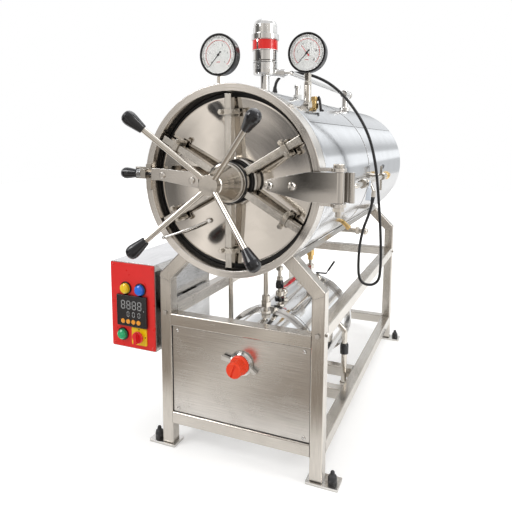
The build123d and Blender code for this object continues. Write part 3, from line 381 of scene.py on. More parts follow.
WARM = (0.66, 0.62, 0.565)
BAR = (0.68, 0.65, 0.60)
TUBE_BRUSH = {"grain": 0.07, "strength": 0.22}
SHEET_BRUSH = {"fineness": 700.0, "grain": 0.06, "strength": 0.2}
ARM_BRUSH = {"across": (0.02, 1, 1), "haze": 0.03}
MATS = {
    "frame_upright": steel("frame_steel_upright", WARM, 0.17, across=(1, 1, 0.015), **TUBE_BRUSH),
    "frame_long": steel("frame_steel_long", WARM, 0.17, across=(1, 0.015, 1), **TUBE_BRUSH),
    "frame_cross": steel("frame_steel_cross", WARM, 0.17, across=(0.015, 1, 1), **TUBE_BRUSH),
    "foot": steel("foot_steel", (0.80, 0.78, 0.75), 0.14, across=(0.05, 1, 1)),
    "sheet": steel("sheet_steel", (0.70, 0.67, 0.63), 0.19, across=(0.012, 1, 1), **SHEET_BRUSH),
    "cabinet": steel("cabinet_steel", (0.80, 0.80, 0.80), 0.16, across=(1, 0.012, 1), **SHEET_BRUSH),
    "ring": steel("ring_steel", (0.79, 0.75, 0.70), 0.16, centre=VESSEL_AXIS, fineness=500.0,
                  grain=0.07, strength=0.2),
    "chamber": steel("chamber_steel", (0.60, 0.58, 0.55), 0.16, centre=VESSEL_AXIS, fineness=300.0),
    "jacket": steel("jacket_steel", (0.76, 0.77, 0.79), 0.09, centre=VESSEL_AXIS, fineness=260.0,
                    haze=0.025, grain=0.02, strength=0.04, tone=0.03, spin=0.75),
    # painted light: the boiler steel is paler than the jacket steel, a brighter colour in place of light it
    # would mirror
    "boiler": steel("boiler_steel", (0.86, 0.86, 0.86), 0.09, centre=BOILER_AXIS, fineness=260.0,
                    haze=0.03, grain=0.03, strength=0.06, tone=0.05),
    "disc": steel("door_mirror_steel", (0.72, 0.68, 0.63), 0.065, centre=VESSEL_AXIS, fineness=330.0,
                  haze=0.015, grain=0.012, strength=0.02, depth=0.00002, tone=0.02, spin=0.70),
    "arm": steel("door_arm_steel", (0.60, 0.57, 0.53), 0.055, grain=0.03, strength=0.05, tone=0.04,
                 **ARM_BRUSH),
    "latch": steel("latch_arm_steel", (0.74, 0.70, 0.65), 0.10, grain=0.04, strength=0.08, tone=0.06,
                   **ARM_BRUSH),
    "bar_up": steel("lock_bar_upright", BAR, 0.15, across=(1, 1, 0.02), fineness=700.0, grain=0.06,
                    strength=0.15),
    "bar": steel("lock_bar_steel", BAR, 0.15, across=(0.15, 1, 0.15), fineness=500.0, grain=0.05,
                 strength=0.12),
    "turned": steel("turned_steel", (0.67, 0.64, 0.60), 0.09, centre=VESSEL_AXIS, fineness=700.0,
                    haze=0.03, grain=0.03, strength=0.15, spin=0.4),
    "chrome": chrome("chrome_fittings"),
    "weld": chrome("weld_metal", (0.50, 0.46, 0.42), 0.28, 0.25),
    "nickel": chrome("nickel_fittings", (0.66, 0.62, 0.56), 0.10, 0.16),
    "brass": chrome("brass", (0.78, 0.55, 0.24), 0.16, 0.18),
    "spring": chrome("spring_steel", (0.60, 0.60, 0.60), 0.18, 0.12),
    "oxide": plastic("black_oxide", (0.020, 0.020, 0.022), 0.42, worn=(0.35, 0.33, 0.30), wear=0.5),
    "rubber": plastic("black_rubber", (0.016, 0.016, 0.017), 0.55, grain=600.0, depth=0.00006),
    "cable": plastic("cable_rubber", (0.014, 0.014, 0.015), 0.34, grain=500.0, depth=0.00004),
    "knob": plastic("black_knob", (0.007, 0.007, 0.009), 0.17, coat=0.12, wear=0.04),
    "gauge": plastic("gauge_black", (0.014, 0.014, 0.016), 0.30, coat=0.2, grain=1400.0),
    "orange": plastic("orange_plastic", (0.95, 0.048, 0.003), 0.42, grain=700.0, depth=0.00005,
                      worn=(0.95, 0.45, 0.25), wear=0.35),
    "red": plastic("signal_red", (0.80, 0.010, 0.008), 0.30, coat=0.35, grain=1200.0,
                   worn=(0.9, 0.25, 0.2), wear=0.3),
    "red_knob": plastic("switch_red", (0.80, 0.012, 0.020), 0.22, coat=0.3, worn=(0.95, 0.35, 0.35),
                        wear=0.4),
    "red_lever": plastic("lever_red", (0.78, 0.008, 0.02), 0.26, coat=0.3, worn=(0.9, 0.3, 0.3), wear=0.3),
    "pale_lever": plastic("lever_pale", (0.74, 0.80, 0.88), 0.30, coat=0.2, worn=(0.9, 0.92, 0.95), wear=0.3),
    "yellow": plastic("lamp_yellow", (0.93, 0.62, 0.006), 0.20, coat=0.5, worn=(1.0, 0.85, 0.4), wear=0.3),
    "blue": plastic("lamp_blue", (0.010, 0.17, 0.78), 0.20, coat=0.5, worn=(0.3, 0.5, 0.95), wear=0.3),
    "green": plastic("button_green", (0.008, 0.42, 0.16), 0.20, coat=0.5, worn=(0.3, 0.75, 0.5), wear=0.3),
    "dial": plastic("dial_white", (0.86, 0.86, 0.84), 0.45, wear=0.0),
    "display": plastic("display_black", (0.014, 0.014, 0.016), 0.16, coat=0.4),
    "digit": plastic("display_digit", (0.36, 0.36, 0.36), 0.4, wear=0.0),
    "amber": plastic("key_amber", (0.95, 0.36, 0.02), 0.3, coat=0.3, worn=(1.0, 0.7, 0.3), wear=0.4),
    "print_black": plastic("print_black", (0.02, 0.02, 0.02), 0.5, wear=0.0),
    "print_red": plastic("print_red", (0.75, 0.04, 0.04), 0.5, wear=0.0),
    "glass": clear_glass(),
}

FINISH = {
    "legs": "frame_upright", "foot_plates": "foot", "cross_rails": "frame_cross", "side_rails": "frame_long",
    "saddle_rails": "frame_long", "boiler_cradle": "frame_cross", "anchor_bolts": "oxide",
    "service_panel": "sheet", "control_cabinet": "cabinet", "panel_screws": "chrome",
    "boiler_pipes": "nickel", "drain_pipes": "nickel", "heater_flange": "chrome", "hinge_pin": "nickel",
    "latch_bracket": "nickel", "top_pipework": "chrome", "side_pipework": "nickel", "gauge_stems": "nickel",
    "heater_cap": "orange", "front_ring": "ring", "chamber": "chamber", "hinge_bracket": "ring",
    "jacket_front": "jacket", "jacket_rear": "jacket", "rear_cover": "jacket", "boiler": "boiler",
    "gasket": "rubber", "hub_seals": "rubber", "sensor_cable": "cable", "door_disc": "disc",
    "hinge_arm": "arm", "latch_arm": "latch", "bar_guides": "nickel", "door_hub": "turned",
    "handwheel": "nickel", "safety_valve": "chrome", "handwheel_knobs": "knob", "latch_plunger": "knob",
    "switch_knob": "red_knob", "boiler_lever": "knob", "valve_handles": "knob", "latch_spring": "spring",
    "gauge_cases": "gauge", "gauge_dials": "dial", "safety_band": "red", "control_panel": "red",
    "riser_lever": "red_lever", "side_lever": "pale_lever", "brass_fittings": "brass",
    "control_display": "display", "lamp_yellow": "yellow", "switch_plate": "yellow", "lamp_blue": "blue",
    "start_button": "green",
}
for k in range(6):
    FINISH["lock_bar_%d" % (k + 1)] = "bar" if k % 3 else "bar_up"
for name, part in nodes.items():
    part.data.materials.clear()
    part.data.materials.append(MATS[FINISH[name]])


# Shape helpers
class Shape:
    """Gathers turned, flat and bent pieces in one mesh."""

    def __init__(self):
        self.bm = bmesh.new()

    def join_rings(self, rings):
        # skins the stretch between each ring of points and the next; a ring of one point is a tip
        for a, b in zip(rings, rings[1:]):
            count = max(len(a), len(b))
            for i in range(count):
                j = (i + 1) % count
                if len(a) == 1 and len(b) == 1:
                    continue
                if len(a) == 1:
                    self.bm.faces.new((a[0], b[j], b[i]))
                elif len(b) == 1:
                    self.bm.faces.new((a[i], a[j], b[0]))
                else:
                    self.bm.faces.new((a[i], a[j], b[j], b[i]))

    def cap_ends(self, rings):
        self.bm.faces.new(rings[0][::-1])
        self.bm.faces.new(rings[-1])

    def turn(self, profile, origin, axis, steps):
        # profile is (radius, distance along the axis)
        z = Vector(axis).normalized()
        q = z.to_track_quat("Z", "Y").to_matrix()
        o = Vector(origin)
        angles = [2 * math.pi * i / steps for i in range(steps)]
        rings = []
        for r, h in profile:
            if r < 1e-6:
                rings.append([self.bm.verts.new(o + z * h)])
            else:
                points = [Vector((r * math.cos(a), r * math.sin(a), h)) for a in angles]
                rings.append([self.bm.verts.new(o + q @ p) for p in points])
        self.join_rings(rings)

    def hexagon(self, flats, h, origin, axis, chamfer):
        r = flats / math.sqrt(3)
        self.turn([(0, 0), (r, 0), (r, h * (1 - chamfer)), (r * 0.93, h), (0, h)], origin, axis, 6)

    def block(self, centre, size, turn=None, chamfer=0.0):
        turned = turn.to_4x4() if turn else Matrix.Identity(4)
        m = Matrix.Translation(centre) @ turned @ Matrix.Diagonal((*size, 1.0))
        made = bmesh.ops.create_cube(self.bm, size=1.0, matrix=m)
        if chamfer:
            edges = list({e for v in made["verts"] for e in v.link_edges})
            bmesh.ops.bevel(self.bm, geom=edges, offset=chamfer, segments=2, affect="EDGES", profile=0.7)

    def plate(self, outline, origin, u, v, thick):
        # outline in the u, v directions, thickened along u x v
        u, v, o = Vector(u).normalized(), Vector(v).normalized(), Vector(origin)
        w = u.cross(v).normalized() * thick
        rings = [[self.bm.verts.new(o + u * a + v * b + w * lift) for a, b in outline] for lift in (0, 1)]
        self.cap_ends(rings)
        self.join_rings(rings)

    def pipe(self, points, r, steps):
        pts = [Vector(p) for p in points]
        angles = [2 * math.pi * k / steps for k in range(steps)]
        up = (pts[1] - pts[0]).orthogonal().normalized()
        rings = []
        for i, p in enumerate(pts):
            d = (pts[min(i + 1, len(pts) - 1)] - pts[max(i - 1, 0)]).normalized()
            up = (up - d * up.dot(d)).normalized()
            side = d.cross(up)
            rings.append([self.bm.verts.new(p + (up * math.cos(a) + side * math.sin(a)) * r) for a in angles])
        self.join_rings(rings)
        self.cap_ends(rings)

    def done(self, name, finish, body=STAND, slot=None):
        bmesh.ops.recalc_face_normals(self.bm, faces=self.bm.faces)
        sharp = math.radians(35.0)
        for f in self.bm.faces:
            f.smooth = True
        for e in self.bm.edges:
            if len(e.link_faces) == 2 and e.calc_face_angle(0.0) > sharp:
                e.smooth = False
        mesh = bpy.data.meshes.new(name)
        self.bm.to_mesh(mesh)
        self.bm.free()
        obj = bpy.data.objects.new(name, mesh)
        scene.collection.objects.link(obj)
        mesh.materials.append(MATS[finish])
        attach(obj, body)
        return obj


def arc(centre, r, a0, a1, n, u=RIGHT, v=UP):
    c, u, v = Vector(centre), Vector(u), Vector(v)
    angles = [math.radians(a0 + (a1 - a0) * k / n) for k in range(n + 1)]
    return [c + u * r * math.cos(a) + v * r * math.sin(a) for a in angles]


def oblong(x0, x1, y0, y1):
    return [(x0, y0), (x1, y0), (x1, y1), (x0, y1)]


# Sensor cable, its route in millimetres from the top gland over the right side to the side line
CABLE_R = 0.005
CABLE = (
    (-4, -312, 1168), (-4, -312, 1194), (8, -311, 1216), (32, -308, 1230), (74, -301, 1234),
    (130, -288, 1222), (190, -271, 1190), (246, -243, 1130), (296, -194, 1036), (320, -170, 930),
    (330, -160, 826),
    (338, -149, 722), (343, -143, 626), (344, -142, 560), (341, -143, 507), (320, -147, 486),
    (290, -153, 486), (269, -157, 507), (266, -159, 562), (269, -162, 626), (281, -168, 692),
    (302, -176, 746), (314, -180, 788), (314, -180, 812),
)


def cable_boots():
    # ribbed boot at each end of the cable
    profile = [(0.0051, 0.0), (0.0088, 0.0), (0.0088, 0.004), (0.0078, 0.006)]
    for k in range(5):
        h = 0.006 + 0.0028 * k
        r = 0.0078 - 0.00045 * k
        profile += [(r, h), (r, h + 0.0016), (r - 0.0008, h + 0.0018)]
    profile += [(0.0053, 0.021), (0.0051, 0.021)]
    boots = Shape()
    for i, j in ((0, 1), (-1, -2)):
        end, beyond = Vector(CABLE[i]) / 1000, Vector(CABLE[j]) / 1000
        boots.turn(profile, end, beyond - end, 24)
    return boots.done("cable_boots", "rubber", slot="cable_rubber")


def sensor_cable():
    curve = bpy.data.curves.new("sensor_cable_line", "CURVE")
    curve.dimensions = "3D"
    spline = curve.splines.new("NURBS")
    spline.points.add(len(CABLE) - 1)
    for p, at in zip(spline.points, CABLE):
        p.co = (at[0] / 1000, at[1] / 1000, at[2] / 1000, 1.0)
    spline.order_u = 3
    spline.use_endpoint_u = True
    curve.resolution_u = 12
    curve.bevel_depth = CABLE_R
    curve.bevel_resolution = 6
    curve.materials.append(MATS["cable"])
    cable = bpy.data.objects.new("sensor_cable_line", curve)
    scene.collection.objects.link(cable)
    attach(cable, STAND)
    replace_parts(cable, "sensor_cable")
    cable_boots()


sensor_cable()


# Gauges
DIGIT_BARS = {"0": "abcdef", "1": "bc", "2": "abged", "3": "abgcd", "4": "fgbc", "5": "afgcd", "6": "afgedc",
              "7": "abc", "8": "abcdefg", "9": "abcdfg"}
PRINT = 0.0003
SCALE_START = 225
SCALE_SWEEP = 270
TICKS = 50
TICK_R = 0.0495
FIGURES = 6
GAUGE_FACE = 0.0131
RIM_PROFILE = ((0.0536, 0.0), (0.0570, 0.0), (0.0598, -0.0010), (0.0600, -0.0032), (0.0600, -0.0062),
               (0.0590, -0.0072), (0.0540, -0.0060), (0.0536, 0.0))
GLASS_PROFILE = ((0.0, -0.0001), (0.0300, -0.0002), (0.0535, -0.0006), (0.0535, -0.0014), (0.0, -0.0010))


def digit_at(shape, figure, origin, height, weight, thick):
    # a plain seven-bar figure facing forwards, with its lower left corner at origin
    w = height * 0.5
    h = height / 2
    places = {"a": (w / 2, 2 * h, 1), "g": (w / 2, h, 1), "d": (w / 2, 0, 1), "f": (0, 1.5 * h, 0),
              "b": (w, 1.5 * h, 0), "e": (0, 0.5 * h, 0), "c": (w, 0.5 * h, 0)}
    for bar in DIGIT_BARS[figure]:
        x, y, flat = places[bar]
        long = (w if flat else h) / 2 - weight * 0.25
        k = weight / 2
        ends = [(-long, 0), (-long + k, -k), (long - k, -k), (long, 0), (long - k, k), (-long + k, k)]
        pts = [(x + a, y + b) if flat else (x - b, y + a) for a, b in ends]
        shape.plate(pts, origin, RIGHT, UP, thick)


def polar(angle):
    # the directions out from a dial's middle and across that, at an angle in degrees
    a = math.radians(angle)
    return Vector((math.cos(a), 0, math.sin(a))), Vector((-math.sin(a), 0, math.cos(a)))


def dial_scale(marks, reds, middle):
    # ticks, a line round each scale and a short line below the middle
    for k in range(TICKS + 1):
        out, across = polar(SCALE_START - SCALE_SWEEP * k / TICKS)
        long = 0.0055 if k % 10 == 0 else (0.0042 if k % 5 == 0 else 0.0028)
        wide = 0.0005 if k % 5 == 0 else 0.00028
        marks.plate(oblong(TICK_R - long, TICK_R, -wide, wide), middle, out, across, -PRINT)
        if k % 2 == 0:
            reds.plate(oblong(0.0375, 0.0402, -wide * 0.8, wide * 0.8), middle, out, across, -PRINT)
    line = arc((0, 0, 0), 1.0, SCALE_START, SCALE_START - SCALE_SWEEP, 72)
    for inner, outer, target in ((0.0496, 0.0500, marks), (0.0400, 0.0412, reds)):
        for p, q in zip(line, line[1:]):
            corners = ((p, inner), (p, outer), (q, outer), (q, inner))
            target.plate([(s.x * r, s.z * r) for s, r in corners], middle, RIGHT, UP, PRINT)
    reds.plate(oblong(-0.006, 0.006, -0.0215, -0.0200), middle, RIGHT, UP, PRINT)


def dial_figures(marks, middle, step):
    for k in range(FIGURES):
        out = polar(SCALE_START - SCALE_SWEEP * k / (FIGURES - 1))[0]
        text = str(k * step)
        base = middle + out * 0.0300 + Vector((-0.0013 * len(text), 0, -0.0026))
        for i, figure in enumerate(text):
            digit_at(marks, figure, base + Vector((0.0040 * i, 0, 0)), 0.0052, 0.0008, PRINT)


def dial_needle(target, middle, angle, length, lift):
    # tapered needle with a short broad tail
    out, across = polar(angle)
    halves = [(-0.012, 0.0024), (-0.004, 0.0016), (length, 0.0003)]
    outline = [(x, -w) for x, w in halves] + [(x, w) for x, w in reversed(halves)]
    target.plate(outline, middle + Vector((0, -lift, 0)), out, across, -0.0004)


def gauges():
    marks, reds, glass, rim = Shape(), Shape(), Shape(), Shape()
    for n, (x, y, z) in enumerate(GAUGES):
        middle = Vector((x, y - GAUGE_FACE, z))
        dial_scale(marks, reds, middle)
        dial_figures(marks, middle, n + 1)
        dial_needle(marks, middle, 228, 0.044, 0.0009)
        if n:
            dial_needle(reds, middle, 128, 0.030, 0.0005)
        boss = [(0.0, 0.0), (0.0040, 0.0), (0.0036, 0.0010), (0.0, 0.0012)]
        marks.turn(boss, middle + Vector((0, -0.0004, 0)), FORWARD, 24)
        rim.turn(RIM_PROFILE, (x, y - 0.0150, z), FORWARD, 72)
        glass.turn(GLASS_PROFILE, (x, y - 0.0146, z), FORWARD, 48)
    marks.done("gauge_marks", "print_black", slot="gauge_black")
    reds.done("gauge_red_marks", "print_red", slot="signal_red")
    rim.done("gauge_rims", "gauge", slot="gauge_black")
    glass.done("gauge_glass", "glass")


gauges()


# Control panel details
def display_details():
    # plain figures, their point, the keys below them and the display's rim
    digits, keys, rim = Shape(), Shape(), Shape()
    left, top = DISPLAY_X - 0.058, DISPLAY_Z + 0.052
    key = [(0.0, 0.0), (0.0078, 0.0), (0.0076, 0.0016), (0.0060, 0.0024), (0.0, 0.0026)]
    for i in range(4):
        x = left + 0.019 + 0.0215 * i
        digit_at(digits, "8", (x, DISPLAY_Y, top - 0.045), 0.026, 0.0030, 0.0006)
        if i:
            digit_at(digits, "0", (x, DISPLAY_Y, top - 0.071), 0.016, 0.0024, 0.0006)
        keys.turn(key, (left + 0.024 + 0.0205 * i, DISPLAY_Y, top - 0.088), FORWARD, 32)
    digits.block((left + 0.106, DISPLAY_Y - 0.0003, top - 0.047), (0.003, 0.0006, 0.003))
    rim_y = DISPLAY_Y - 0.0004
    for side in (-1, 1):
        rim.block((DISPLAY_X, rim_y, DISPLAY_Z + side * 0.0505), (0.112, 0.0012, 0.002), chamfer=0.0004)
        rim.block((DISPLAY_X + side * 0.0565, rim_y, DISPLAY_Z), (0.002, 0.0012, 0.099), chamfer=0.0004)
    rim.done("display_rim", "gauge", slot="display_black")
    digits.done("display_digits", "digit", slot="display_black")
    keys.done("display_keys", "amber", slot="lamp_yellow")


def button_details():
    # bezels round the lamps and the button, and the rotary switch's two marks
    bezels, marks = Shape(), Shape()
    bezel = [(0.0180, 0.0), (0.0215, 0.0), (0.0215, 0.0024), (0.0205, 0.0044), (0.0186, 0.0052),
             (0.0178, 0.0040), (0.0178, 0.0)]
    for x, z in BUTTONS:
        bezels.turn(bezel, (x, PANEL_Y, z), FORWARD, 48)
    bezels.done("lamp_bezels", "knob", slot="display_black")
    for angle in (90, 0):
        out = polar(angle)[0]
        spot = Vector((SWITCH_X, PANEL_Y - 0.0042, SWITCH_Z)) + out * 0.0245
        marks.block(spot, (0.004, 0.0006, 0.004), chamfer=0.0002)
    marks.done("switch_marks", "print_black", slot="display_black")


display_details()
button_details()


# Small fittings
def replace_node(shape, name, finish, node, body=STAND, slot=None):
    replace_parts(shape.done(name, finish, body, slot), node)


def vessel_top(x):
    # height of the jacket's upper side at a distance from its middle plane
    return AXIS_Z + math.sqrt(JACKET_R ** 2 - x ** 2)


def corners():
    return [(sx, sy) for sx in (-1, 1) for sy in (-1, 1)]


def anchor_caps():
    # each stud under its domed cap nut, on a broad flanged collar
    caps = Shape()
    dome = [(0.0, 0.0), (0.0128, 0.0), (0.0136, 0.0022), (0.0134, 0.0110), (0.0118, 0.0160), (0.0085, 0.0185),
            (0.0066, 0.0198), (0.0066, 0.0262), (0.0058, 0.0292), (0.0036, 0.0314), (0.0, 0.0322)]
    for sx, sy in corners():
        x, y = sx * ANCHOR_X, sy * LEG_Y
        caps.hexagon(0.0245, 0.0060, (x, y, 0.0080), UP, 0.2)
        caps.turn(dome, (x, y, 0.0140), UP, 32)
    replace_node(caps, "anchor_caps", "oxide", "anchor_bolts", slot="black_oxide")


def panel_gaps():
    # dark joints where the service panel meets the frame
    low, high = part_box("service_panel")
    gap = Shape()
    w, y = 0.0022, low.y - 0.0001
    cx, cz = (low.x + high.x) / 2, (low.z + high.z) / 2
    for x in (low.x + w / 2, high.x - w / 2):
        gap.block((x, y, cz), (w, 0.0008, high.z - low.z), chamfer=0.0002)
    for z in (low.z + w / 2, high.z - w / 2):
        gap.block((cx, y, z), (high.x - low.x, 0.0008, w), chamfer=0.0002)
    gap.done("panel_joint", "rubber", slot="black_rubber")


def jacket_seams():
    # lap seam along each jacket skin and the clamp band behind the front ring, with their dark joint lines
    seam, dark = Shape(), Shape()
    inside = JACKET_R - 0.001
    band = [(inside, -0.6205), (0.2745, -0.6205), (0.2747, -0.6195), (0.2747, -0.6020), (0.2738, -0.6010),
            (0.2720, -0.6006), (0.2712, -0.5950), (0.2712, -0.5900), (inside, -0.5895)]
    seam.turn(band, VESSEL_AXIS, REARWARD, 128)
    for r, y0, y1 in ((0.2704, -0.5898, -0.5880), (0.2725, -0.6247, -0.6206)):
        dark.turn([(inside, y0), (r, y0), (r, y1), (inside, y1)], VESSEL_AXIS, REARWARD, 128)
    from_top = math.radians(49.6)
    out = Vector((math.sin(from_top), 0, math.cos(from_top)))
    down = Vector((math.cos(from_top), 0, -math.sin(from_top)))
    lap = 0.0045
    for y0, y1 in JACKET_SKINS:
        start = Vector((0, y0, AXIS_Z)) + out * (JACKET_R - 0.0004)
        seam.plate(oblong(0.0, y1 - y0, 0.0, lap), start, REARWARD, down, -0.0013)
        dark.plate(oblong(0.0, y1 - y0, 0.0, 0.0012), start + down * lap, REARWARD, down, -0.0006)
    seam.done("jacket_seams", "jacket", slot="jacket_steel")
    dark.done("jacket_joint_lines", "rubber", slot="black_rubber")


def crowned_ring(inner, outer, half, crown):
    # profile of a thin ring with a slightly crowned edge
    return [(inner, -half), (outer, -half), (outer + crown, 0.0), (outer, half), (inner, half)]


def valve_trim():
    # chrome slot up the valve's red band, fine rings on its body and a knurled cap edge
    low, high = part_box("safety_band")
    cx, cy = (low.x + high.x) / 2, (low.y + high.y) / 2
    r = (high.x - low.x) / 2
    trim = Shape()
    slot_angle = math.radians(-104)
    out = Vector((math.cos(slot_angle), math.sin(slot_angle), 0))
    across = Vector((-math.sin(slot_angle), math.cos(slot_angle), 0))
    spot = Vector((cx, cy, (low.z + high.z) / 2)) + out * (r - 0.001)
    facing = Matrix((across, out, UP)).transposed()
    trim.block(spot, (0.0055, 0.0035, high.z - low.z + 0.0006), facing, 0.0008)
    for z in (low.z - 0.0012, high.z + 0.0012):
        trim.turn(crowned_ring(r - 0.004, r + 0.0006, 0.0010, 0.0006), (cx, cy, z), UP, 64)
    for k in range(6):
        z = low.z - 0.036 - 0.0042 * k
        trim.turn(crowned_ring(0.0345, 0.0373, 0.0006, 0.0004), (cx, cy, z), UP, 64)
    for k in range(12):
        b = 2 * math.pi * k / 12
        spot = (cx + 0.0335 * math.cos(b), cy + 0.0335 * math.sin(b), high.z + 0.033)
        trim.block(spot, (0.006, 0.006, 0.026), Matrix.Rotation(b, 3, "Z"), 0.0022)
    trim.done("valve_trim", "chrome", slot="bright_chrome")


def gauge_unions():
    # hex nuts on each gauge's stem, and the stout tube of the right one
    nuts = Shape()
    tube = [(0.0082, 0.0), (0.0112, 0.0), (0.0116, 0.002), (0.0112, 0.052), (0.0100, 0.055), (0.0082, 0.055)]
    neck = [(0.0082, 0.0), (0.0098, 0.0), (0.0098, 0.004), (0.0082, 0.004)]
    for (x, y, z), flats, lift in zip(GAUGES, (0.0250, 0.0270), (0.008, -0.001)):
        base, top = vessel_top(x), z - DIAL_R
        nuts.hexagon(flats, 0.0120, (x, y, base + lift), UP, 0.15)
        nuts.hexagon(0.0190, 0.0120, (x, y, top - 0.014), UP, 0.15)
        nuts.turn(neck, (x, y, top - 0.019), UP, 32)
    x, y, z = GAUGES[1]
    nuts.turn(tube, (x, y, vessel_top(x) + 0.011), UP, 40)
    nuts.hexagon(0.0215, 0.0110, (x, y, vessel_top(x) + 0.066), UP, 0.15)
    nuts.done("gauge_unions", "nickel", slot="chrome_fittings")


def twisted_lever():
    # flat lever on the side line's valve: an eye on the stem, then a blade turned to face forwards
    low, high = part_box("side_lever")
    eye = Vector(((low.x + high.x) / 2, SIDE_STEM_Y, SIDE_STEM_Z))
    d = Vector((0, -0.45, -0.9)).normalized()
    lever = Shape()
    washer = [(0.0045, -0.0016), (0.0095, -0.0016), (0.0100, 0.0), (0.0095, 0.0016), (0.0045, 0.0016),
              (0.0045, -0.0016)]
    lever.turn(washer, eye, RIGHT, 32)
    section = ((-1, -0.6), (-0.9, -1), (0.9, -1), (1, -0.6), (1, 0.6), (0.9, 1), (-0.9, 1), (-1, 0.6))
    rings = []
    for k in range(13):
        t = k / 12
        turn = math.radians(90) * min(1.0, t / 0.3)
        wide = Vector((0, -d.z, d.y)) * math.cos(turn) + Vector(RIGHT) * math.sin(turn)
        thin = d.cross(wide)
        half = 0.0045 + 0.0040 * min(1.0, t / 0.35)
        c = eye + d * (0.008 + 0.052 * t)
        rings.append([lever.bm.verts.new(c + wide * half * a + thin * 0.0017 * b) for a, b in section])
    lever.join_rings(rings)
    lever.cap_ends(rings)
    replace_node(lever, "side_lever_blade", "pale_lever", "side_lever", "side_lever", "lever_pale")


def black_grips():
    # moulded grips: on the brass cock on top, and the curled one on the side line
    grips = Shape()
    z = vessel_top(COCK_X)
    grips.pipe([(0.162, -0.360, z + 0.028), (0.168, -0.361, z + 0.034), (0.170, -0.362, z + 0.028),
                (0.174, -0.363, z + 0.006), (0.176, -0.364, z - 0.012)], 0.0042, 14)
    grips.pipe([(0.172, -0.362, z - 0.004), (0.184, -0.364, z - 0.010)], 0.0036, 12)
    curl = arc((0.300, 0.104, 0.897), 0.017, -90, 150, 12, REARWARD, UP)
    grips.pipe([(0.300, 0.104, 0.880)] + curl, 0.0050, 14)
    grips.pipe([(0.300, 0.075, 0.902), (0.300, 0.096, 0.908)], 0.0062, 14)
    grips.done("black_grips", "knob", slot="black_knob")


def weld_beads():
    # weld beads at the mitred knees of the legs
    bead = Shape()
    for sx, sy in corners():
        knee = Vector((sx * LEG_X, sy * LEG_Y, KNEE_Z))
        inner = Vector((sx * KNEE_INNER_X, sy * LEG_Y, KNEE_INNER_Z))
        for face in (-0.0200, 0.0200):
            line = [knee.lerp(inner, t) + Vector((0, face, 0)) for t in (0.02, 0.2, 0.4, 0.6, 0.8, 0.98)]
            bead.pipe(line, 0.0009, 8)
    bead.done("weld_beads", "weld", slot="frame_steel")


def door_stay():
    # thin stay rod at the lower left of the door, from the ring side to the disc
    stay = Shape()
    rod = [(-0.2030, -0.690, 0.7180), (-0.1700, -0.682, 0.7300), (-0.1350, -0.670, 0.7440),
           (-0.1080, -0.659, 0.7560), (-0.0830, -0.6355, 0.7680)]
    stay.pipe(rod, 0.0032, 14)
    ball = [(0.0, 0.0), (0.0040, 0.0006), (0.0062, 0.0030), (0.0062, 0.0070), (0.0040, 0.0094), (0.0, 0.0100)]
    stay.turn(ball, rod[0], (-0.94, 0.02, -0.34), 24)
    foot = [(0.0, 0.0), (0.0075, 0.0), (0.0075, 0.0060), (0.0050, 0.0080), (0.0, 0.0080)]
    stay.turn(foot, (-0.0830, -0.6330, 0.7680), FORWARD, 24)
    stay.done("door_stay", "chrome", "door", "chrome_fittings")


anchor_caps()
panel_gaps()
jacket_seams()
valve_trim()
gauge_unions()
twisted_lever()
black_grips()
weld_beads()
door_stay()


# Studio. Each strip of tones is (place along it from 0 to 1, level).
# The front strip runs by bearing round the machine, from behind over its left, front and right to behind
FRONT_TONES = (
    (0.00, 0.85), (0.25, 0.60), (0.31, 0.12), (0.385, 0.20), (0.405, 0.50), (0.412, 0.74), (0.418, 0.80),
    (0.4225, 1.02), (0.426, 0.95), (0.430, 0.45), (0.432, 0.48), (0.4345, 1.30), (0.438, 1.15),
    (0.4405, 0.80),
    (0.4425, 0.08), (0.4475, 0.01), (0.4525, 0.10), (0.456, 0.30), (0.460, 0.55), (0.475, 0.92), (0.52, 0.58),
    (0.56, 0.55), (0.60, 0.70), (0.67, 0.85), (0.72, 1.05), (0.80, 0.95), (1.0, 0.85))
FRONT_TINT = (1.0, 0.955, 0.905)
# The rear strip runs round the vessel's own axis, from its right side over the top to its left side
REAR_TONES = (
    (0.00, 0.66), (0.02, 1.00), (0.04, 1.12), (0.125, 1.10), (0.155, 0.62), (0.21, 0.60), (0.25, 0.80),
    (0.30, 0.98), (0.36, 1.15), (0.44, 1.15), (0.485, 0.66), (0.53, 0.86), (0.66, 0.88), (0.76, 0.62),
    (0.85, 0.40), (1.0, 0.34))
REAR_TINT = (0.965, 0.985, 1.0)
LAMPS = (
    ("key_soft_box", (-1.9, -2.2, 2.7), (0, -0.2, 0.7), (1.4, 1.4), 42),
    ("right_strip", (2.4, -0.6, 2.0), (0, 0.1, 0.8), (0.5, 2.0), 22),
    ("top_panel", (0.2, 0.6, 3.2), (0, 0.1, 0.8), (2.4, 2.4), 40))
FLOOR_REACH = 9
DOORWAY_X, DOORWAY_Y = -4.26, -7.75


def tone_strip(tree, where, stops, tint):
    ramp = tree.nodes.new("ShaderNodeValToRGB")
    tree.links.new(where, ramp.inputs[0])
    marks = ramp.color_ramp.elements
    while len(marks) < len(stops):
        marks.new(0.5)
    for mark, (at, level) in zip(marks, stops):
        mark.position = at
        mark.color = (*toned(tint, level), 1.0)
    return ramp.outputs[0]


def front_windows(tree, x, y, shift=0.0):
    # tall windows with dark wall between them, laid out by bearing as seen from the machine
    bearing = calc(tree, "DIVIDE", calc(tree, "ARCTAN2", x, product(tree, y, -1.0)), 2 * math.pi)
    return tone_strip(tree, total(tree, total(tree, bearing, shift), 0.5), FRONT_TONES, FRONT_TINT)


def background(tree, colour, strength):
    node = tree.nodes.new("ShaderNodeBackground")
    feed(tree, node.inputs["Color"], colour)
    node.inputs["Strength"].default_value = strength
    return node.outputs[0]


